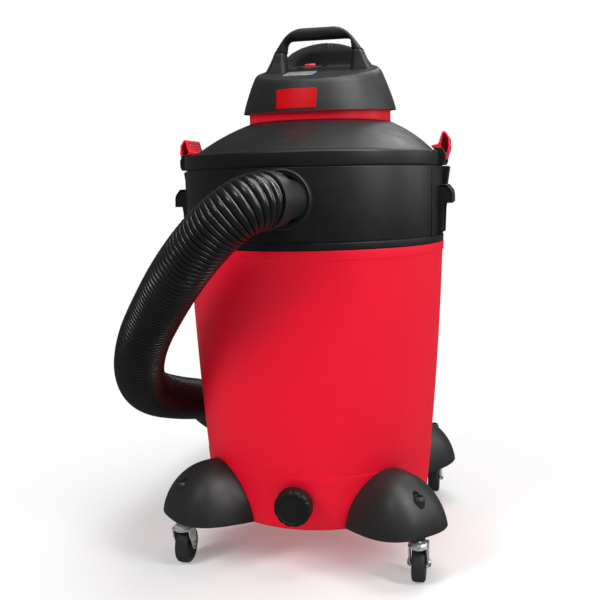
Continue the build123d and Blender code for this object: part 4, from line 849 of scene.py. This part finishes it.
# ---------------------------------------------------------------- latches
def latch(side, name):
    """Wedge-shaped latch: hollow, ribbed inboard plate, curled lip over the lid's bracket."""
    outer = rounded(
        [(184.5, 589.5), (188.6, 589.5), (194.2, 581), (195, 568), (190.2, 552.3), (184.8, 552.3), (184.4, 559),
         (181, 566.4), (170, 568.2), (170, 571), (179.6, 573.2)], [1.4, 2.4, 5, 6, 3, 2.5, 3, 3, 1.2, 1.2, 3])
    hollow = rounded(
        [(186, 586.4), (187.6, 586.6), (192, 580), (192.7, 568.8), (190.2, 560.6), (187, 560.6), (182.4, 571.2)],
        [0.7, 0.7, 3, 4, 1.5, 2, 2])
    shapes = [side_plate(side, [outer, hollow], 29, 0.8)]
    back = rounded(
        [(185.2, 587.6), (188.2, 587.6), (193, 580), (193.8, 568), (189, 553.8), (185.6, 553.8), (181.8, 570)],
        [1, 2, 4, 4, 3, 3, 2])
    shapes.append(side_plate(side, [back], 1.2, 0.4))
    for step in range(4):
        bead = circle(1.2, (180.4 + 1.12 * step, 574.6 + 3.7 * step), 14)
        shapes.append(side_plate(side, [bead], 26, 0.5, resolution=1))
    piece(f"latch_{name}_wedge", merged(*shapes), "latch_red", f"latch_{name}", [f"latch_{name}"], weighted=True)


latch(-1, "left")
latch(1, "right")

# ---------------------------------------------------------------- motor head
def spline_profile(points, steps):
    """A smooth line through points, of steps pieces between each pair."""
    line = []
    for i in range(len(points) - 1):
        p0, p1 = points[max(i - 1, 0)], points[i]
        p2, p3 = points[i + 1], points[min(i + 2, len(points) - 1)]
        for k in range(steps):
            t = k / steps
            line.append(tuple(
                0.5 * (2 * b + (c - a) * t + (2 * a - 5 * b + 4 * c - d) * t**2 + (3 * b - a - 3 * c + d) * t**3)
                for a, b, c, d in zip(p0, p1, p2, p3)))
    return line + [tuple(points[-1])]


def deck_z(y):
    """Height of the sloping deck."""
    return DECK_FRONT_Z + DECK_SLOPE * (y - DECK_FRONT_Y)


def smooth_min(a, b, blend):
    """The lower of two heights, with a rounded corner between them."""
    h = max(0.0, min(1.0, 0.5 + 0.5 * (b - a) / blend))
    return b * (1 - h) + a * h - blend * h * (1 - h)


def cover_height(x, y, dome):
    """The cover's surface: the dome, cut down to the deck in front of the hump."""
    rise = max(0.0, min(1.0, (y - (HUMP_Y - 3)) / 9))
    rise = rise * rise * (3 - 2 * rise)
    return smooth_min(dome, deck_z(y) + 90 * rise, 9)


outline = spline_profile(COVER_OUTLINE, 26)


def skirt_drop(y, z):
    """How much lower the cover's skirt hangs than the CAD's level base: most in front, fading out above."""
    return (1.5 + 0.055 * (HEAD_Y - y)) * max(0.0, min(1.0, (662 - z) / 33))


def cover_shape():
    """The motor cover's skin with a turned-in base."""
    segments = 288
    base = [(99, RING_TOP_Z + 2.5), (111.8, RING_TOP_Z + 2.5), (111.8, RING_TOP_Z + 0.2), (113.0, RING_TOP_Z)]
    rows = [(r, z, False) for r, z in base] + [(r, z, True) for r, z in outline if r > 0.4]
    sections = []
    for r, z, cut in rows:
        section = []
        for angle in turns(segments):
            x, y = r * math.cos(angle), HEAD_Y + r * math.sin(angle)
            section.append((x, y, (cover_height(x, y, z) if cut else z) - skirt_drop(y, z)))
        sections.append(section)
    points, faces = loft(sections, cap=False)
    faces.append(tuple(range(len(points) - segments, len(points))))
    return points, faces


piece("cover_shell", cover_shape(), "head_black", "head", ["motor_cover"], sharp=50)
ring_profile = [
    (88, RING_BASE_Z + 0.6), (104.4, RING_BASE_Z + 0.6), (105, RING_BASE_Z + 2), (105, RING_TOP_Z - 1.4),
    (104.2, RING_TOP_Z + 0.2), (88, RING_TOP_Z + 0.2),
]
piece("ring_band", turned(ring_profile, [0.5, 0.8, 1, 1, 0.8, 0.5], segments=224, centre=(0, HEAD_Y)),
      "ring_red", "head", ["motor_ring"])


def cover_radius(z):
    """Radius of the cover's outline at a height."""
    for (r0, z0), (r1, z1) in zip(outline, outline[1:]):
        if z0 <= z <= z1:
            return r0 + (r1 - r0) * (z - z0) / (z1 - z0)
    return outline[0][0]


def on_cover(x, z, out):
    """A point on the front of the cover, moved out from it."""
    r = cover_radius(z + skirt_drop(-60, z)) + out
    return (x, HEAD_Y - math.sqrt(r * r - x * x), z)


def subdivided(shape, rounds):
    """A shape with its edges cut, so that it can be bent."""
    mesh = bpy.data.meshes.new("cut")
    mesh.from_pydata([Vector(p) for p in shape[0]], [], shape[1])
    work = bmesh.new()
    work.from_mesh(mesh)
    bpy.data.meshes.remove(mesh)
    bmesh.ops.triangulate(work, faces=work.faces)
    for _ in range(rounds):
        long_edges = [e for e in work.edges if e.calc_length() > 3]
        bmesh.ops.subdivide_edges(work, edges=long_edges, cuts=1)
        bmesh.ops.triangulate(work, faces=work.faces)
    work.verts.ensure_lookup_table()
    result = [v.co.copy() for v in work.verts], [tuple(v.index for v in f.verts) for f in work.faces]
    work.free()
    return result


def badge():
    """Bends the badge's plate and its raised field to the cover."""
    rim = subdivided(plate([round_rect(58, 27.5, 2.4, steps=4)], 1.2, 0.45), 5)
    field = subdivided(plate([round_rect(54, 23.5, 1.4, steps=4)], 0.5, 0.2, Matrix.Translation((0, 0, 1.1))), 5)
    points, faces = merged(rim, field)
    return [on_cover(-12 + p[0], 638.5 + p[1], p[2] - 0.1) for p in points], faces


piece("badge_blank", badge(), "badge", "head", ["badge_plate"], sharp=30)


# handle, with the two posts that stand on the deck
def arch_line(seam_x, corner_x, corner_z, radius):
    """One edge of the arch from the left seam over to the right one, in three runs split at the corners' middles."""
    line = rounded([(-seam_x, SEAM_Z), (-corner_x, corner_z), (corner_x, corner_z), (seam_x, SEAM_Z)],
                   [0, radius, radius, 0], closed=False, steps=16)
    first, second = 9, len(line) - 10
    runs = (line[:first + 1], 16), (line[first:second + 1], 26), (line[second:], 16)
    return [point for run, count in runs for point in resampled(run, count)[:-1]] + [Vector(line[-1])]


def handle_section(inner, outer, shrink=0.0):
    """A rounded section of the handle between its inner and outer edge."""
    a, b = Vector(inner), Vector(outer)
    middle, across, thick = (a + b) / 2, (b - a).normalized(), (b - a).length
    radius = min(6.5, 0.44 * thick)
    outline_2d = round_rect(thick - 2 * shrink, HANDLE_DEPTH - 2 * shrink, radius, steps=7)
    return [(middle.x + across.x * u, HANDLE_Y + v, middle.y + across.y * u) for u, v in outline_2d]


def handle_arch():
    """The grip: a rounded section carried over the opening, with a turned-in edge at each seam."""
    inner = arch_line(POST_IN_X, POST_IN_X - 1.5, GRIP_UNDER_Z, 9)
    outer = arch_line(SEAM_OUT_X, CROWN_X, HANDLE_TOP_Z, 36)
    pairs = list(zip(inner, outer))
    sections = [handle_section(a, b) for a, b in pairs[1:-1]]
    for place, (a, b) in ((0, pairs[0]), (len(sections) + 1, pairs[-1])):
        lifted = [(p[0], p[1], p[2] + 1.1) for p in handle_section(a, b)]
        sections.insert(place, lifted)
    ends = [[(p[0], p[1], p[2] + 0.3) for p in handle_section(a, b, 0.8)] for a, b in (pairs[0], pairs[-1])]
    return loft([ends[0], *sections, ends[1]])


piece("handle_arch", handle_arch(), "grip_black", "head", ["handle_grip"], sharp=50)
for side, name in ((-1, "left"), (1, "right")):
    sections = []
    rings = (672, 3.4), (690, 2.4), (696, 1.2), (702, 0.4), (708, 0.0), (713.7, 0.0), (714.5, -0.3), (714.8, -1.0)
    for z, grow in rings:
        out_x = SEAM_OUT_X + (SEAM_Z - z) * 0.42
        width = out_x - POST_IN_X
        section = round_rect(width + 2 * grow, HANDLE_DEPTH + 2 * grow, 6.5 + grow, steps=7)
        sections.append([(side * (POST_IN_X + width / 2) + x, HANDLE_Y + y, z) for x, y in section])
    piece(f"handle_post_{name}", loft(sections), "head_black", "head")


def deck_frame(x, y, lift=0.0):
    """A frame on the deck, its Z out of the surface."""
    up = Vector((0, -DECK_SLOPE, 1)).normalized()
    return frame_at(Vector((x, y, deck_z(y))) + up * lift, up)


label_loops = [round_rect(44, 42, 3, steps=4)]
piece("deck_label_foil", plate(label_loops, 0.5, 0.2, deck_frame(-22, 16, 0.1)), "label", "head", ["deck_label"])
bezel_outer = [(19 * math.cos(angle), 10.5 * math.sin(angle)) for angle in turns(64)]
surround = plate([bezel_outer, round_rect(19.2, 13.4, 1.5, steps=3)], 1.5, 0.8, deck_frame(SWITCH_X, SWITCH_Y, 1.0))
piece("switch_surround", surround, "bezel", "head", ["switch_bezel"], weighted=True)


def rocker():
    """The switch's rocker: a shallow saddle with a pressed-in half."""
    sections = []
    for step in range(13):
        along = -1 + step / 6
        height = 3.0 + 2.2 * along * along + 0.5 * along
        half_w, y = 8.6 - 0.5 * abs(along) ** 6, 5.9 * along
        corners = [(-half_w, -1.5), (half_w, -1.5), (half_w, height), (-half_w, height)]
        outline_2d = rounded(corners, [0, 0, 1.1, 1.1], steps=4)
        sections.append([(x, y, z) for x, z in outline_2d])
    return moved(loft(sections), deck_frame(SWITCH_X, SWITCH_Y, 0.6))


piece("rocker_cap", rocker(), "rocker_red", "rocker", ["switch_rocker"], sharp=50)

# ---------------------------------------------------------------- rear of the head
blower_frame = frame_at((0, HEAD_Y, 664), (0, 1, 0))
blower_profile = [(29, 78.4), (33, 78.4), (33, 118), (33.4, 119), (33.4, 121), (32.4, 122), (30, 122), (29, 120.6)]
piece("blower_spigot", turned(blower_profile, [0.5, 0.5, 0.6, 0.5, 0.6, 0.8, 0.8, 0.6], blower_frame),
      "port_black", "head", ["blower_port"])
gland_frame = frame_at((62, HEAD_Y, 646), (0, 1, 0))
gland_profile = [(4, 84), (8, 84), (8, 97), (7.2, 98.4), (6.6, 104), (4, 104)]
piece("cord_bush", turned(gland_profile, [0.4, 0.4, 0.6, 0.6, 0.8, 0.4], gland_frame, segments=64),
      "rubber", "head", ["cord_gland"])


# ---------------------------------------------------------------- filter, seen when the head is lifted
def filter_shape():
    """Pleated paper between two moulded caps."""
    rows, top, bottom = 14, 548.5, 410.0
    sections = []
    for j in range(rows + 1):
        z = bottom + (top - bottom) * j / rows
        section = []
        for k, angle in enumerate(turns(256)):
            fold = abs((k % 4) - 2) / 2
            r = 82 - 12 * fold + 0.5 * math.sin(j * 1.9 + k * 0.37) * fold
            section.append((r * math.cos(angle), HEAD_Y + r * math.sin(angle), z))
        sections.append(section)
    return loft(sections, cap=False)


piece("filter_pleats", filter_shape(), "filter_paper", "filter", ["filter_cartridge"], sharp=80)
for name, low, high in (("lower", 402.2, 410.4), ("upper", 548.2, 556.4)):
    floor_z = (low + high) / 2
    cap = [(51, low), (84, low), (84, high), (80, high), (80, floor_z), (56, floor_z), (56, high), (51, high)]
    piece(f"filter_cap_{name}", turned(cap, 0.9, centre=(0, HEAD_Y)), "rubber", "filter")

# ---------------------------------------------------------------- CAD pieces that are shown as they are
slot_of = {entry["node"]: entry["material_slot"] for entry in frame["record"]["subparts"]}
for node_name, item in nodes.items():
    if not item.hide_render:
        item.data.materials.clear()
        item.data.materials.append(MATERIALS[slot_of[node_name]])

# ---------------------------------------------------------------- floor and light
ground = bpy.data.meshes.new("floor")
ground.from_pydata([(-20, -20, 0), (20, -20, 0), (20, 20, 0), (-20, 20, 0)], [], [(0, 1, 2, 3)])
ground_object = bpy.data.objects.new("floor", ground)
bpy.context.scene.collection.objects.link(ground_object)
pale, node, place, feed = new_material("pale_floor")
feed({"Base Color": (0.9, 0.9, 0.9, 1), "Roughness": 0.6, "Specular IOR Level": 0.15})
distance = node("ShaderNodeVectorMath", {0: place}, operation="LENGTH")
far_away = node("ShaderNodeMapRange", {
    "Value": distance.outputs["Value"], "From Min": 0.15, "From Max": 0.68, "To Min": 0.2,
}, interpolation_type="SMOOTHSTEP")
paper_white = node("ShaderNodeEmission", {"Color": (1, 1, 1, 1), "Strength": 1.0})
seamless = node("ShaderNodeMixShader", {
    "Fac": far_away.outputs["Result"], 1: pale.node_tree.nodes["Principled BSDF"].outputs["BSDF"],
    2: paper_white.outputs["Emission"]})
fill(pale.node_tree, pale.node_tree.nodes["Material Output"], {"Surface": seamless.outputs["Shader"]})
ground.materials.append(pale)
ground_object.visible_glossy = False


def soft_light(name, place, target, size, power, glossy=True, diffuse=True):
    """A large area light aimed at a point, which may be left out of the highlights or light only them."""
    lamp = bpy.data.lights.new(name, "AREA")
    lamp.shape, lamp.size, lamp.size_y, lamp.energy = "RECTANGLE", size[0], size[1], power
    made = bpy.data.objects.new(name, lamp)
    made.location = place
    made.rotation_mode = "QUATERNION"
    made.rotation_quaternion = (Vector(target) - Vector(place)).to_track_quat("-Z", "Y")
    made.visible_camera, made.visible_glossy, made.visible_diffuse = False, glossy, diffuse
    bpy.context.scene.collection.objects.link(made)


soft_light("key_left", (-1.5, -2.0, 1.9), (0, 0, 0.35), (0.9, 1.4), 52, glossy=False)
soft_light("fill_right", (1.9, -0.9, 1.5), (0, 0, 0.4), (0.6, 1.4), 36)
soft_light("sheen_right", (1.2, -0.5, 2.2), (0, 0, 0.6), (0.8, 0.8), 40, diffuse=False)
soft_light("sheen_back", (0.65, 1.5, 1.9), (0.1, 0, 0.6), (0.9, 0.5), 10, diffuse=False)
soft_light("strip_top", (-0.5, -1.6, 2.3), (-0.2, -0.1, 0.4), (0.5, 0.3), 16, diffuse=False)
soft_light("strip_right", (2.1, 0.5, 1.2), (0, 0, 0.45), (0.7, 1.3), 16, diffuse=False)
soft_light("top", (0.3, 0.1, 2.6), (0, 0, 0.3), (1.3, 1.3), 34)
soft_light("back_fill", (0.6, 2.3, 1.5), (0, 0, 0.4), (1.2, 1.2), 16, glossy=False)

world = bpy.data.worlds.new("studio")
bpy.context.scene.world = world
world.use_nodes = True
sky = world.node_tree
background = sky.nodes["Background"]
fill(sky, background, {"Color": (0.95, 0.96, 1.0, 1), "Strength": 0.12})
seen = add_node(sky, "ShaderNodeBackground", {"Color": (1, 1, 1, 1), "Strength": 1.0})
choose = add_node(sky, "ShaderNodeMixShader", {
    "Fac": add_node(sky, "ShaderNodeLightPath", {}).outputs["Is Camera Ray"],
    1: background.outputs["Background"], 2: seen.outputs["Background"]})
fill(sky, sky.nodes["World Output"], {"Surface": choose.outputs["Shader"]})
bpy.context.scene.view_settings.view_transform = "Standard"
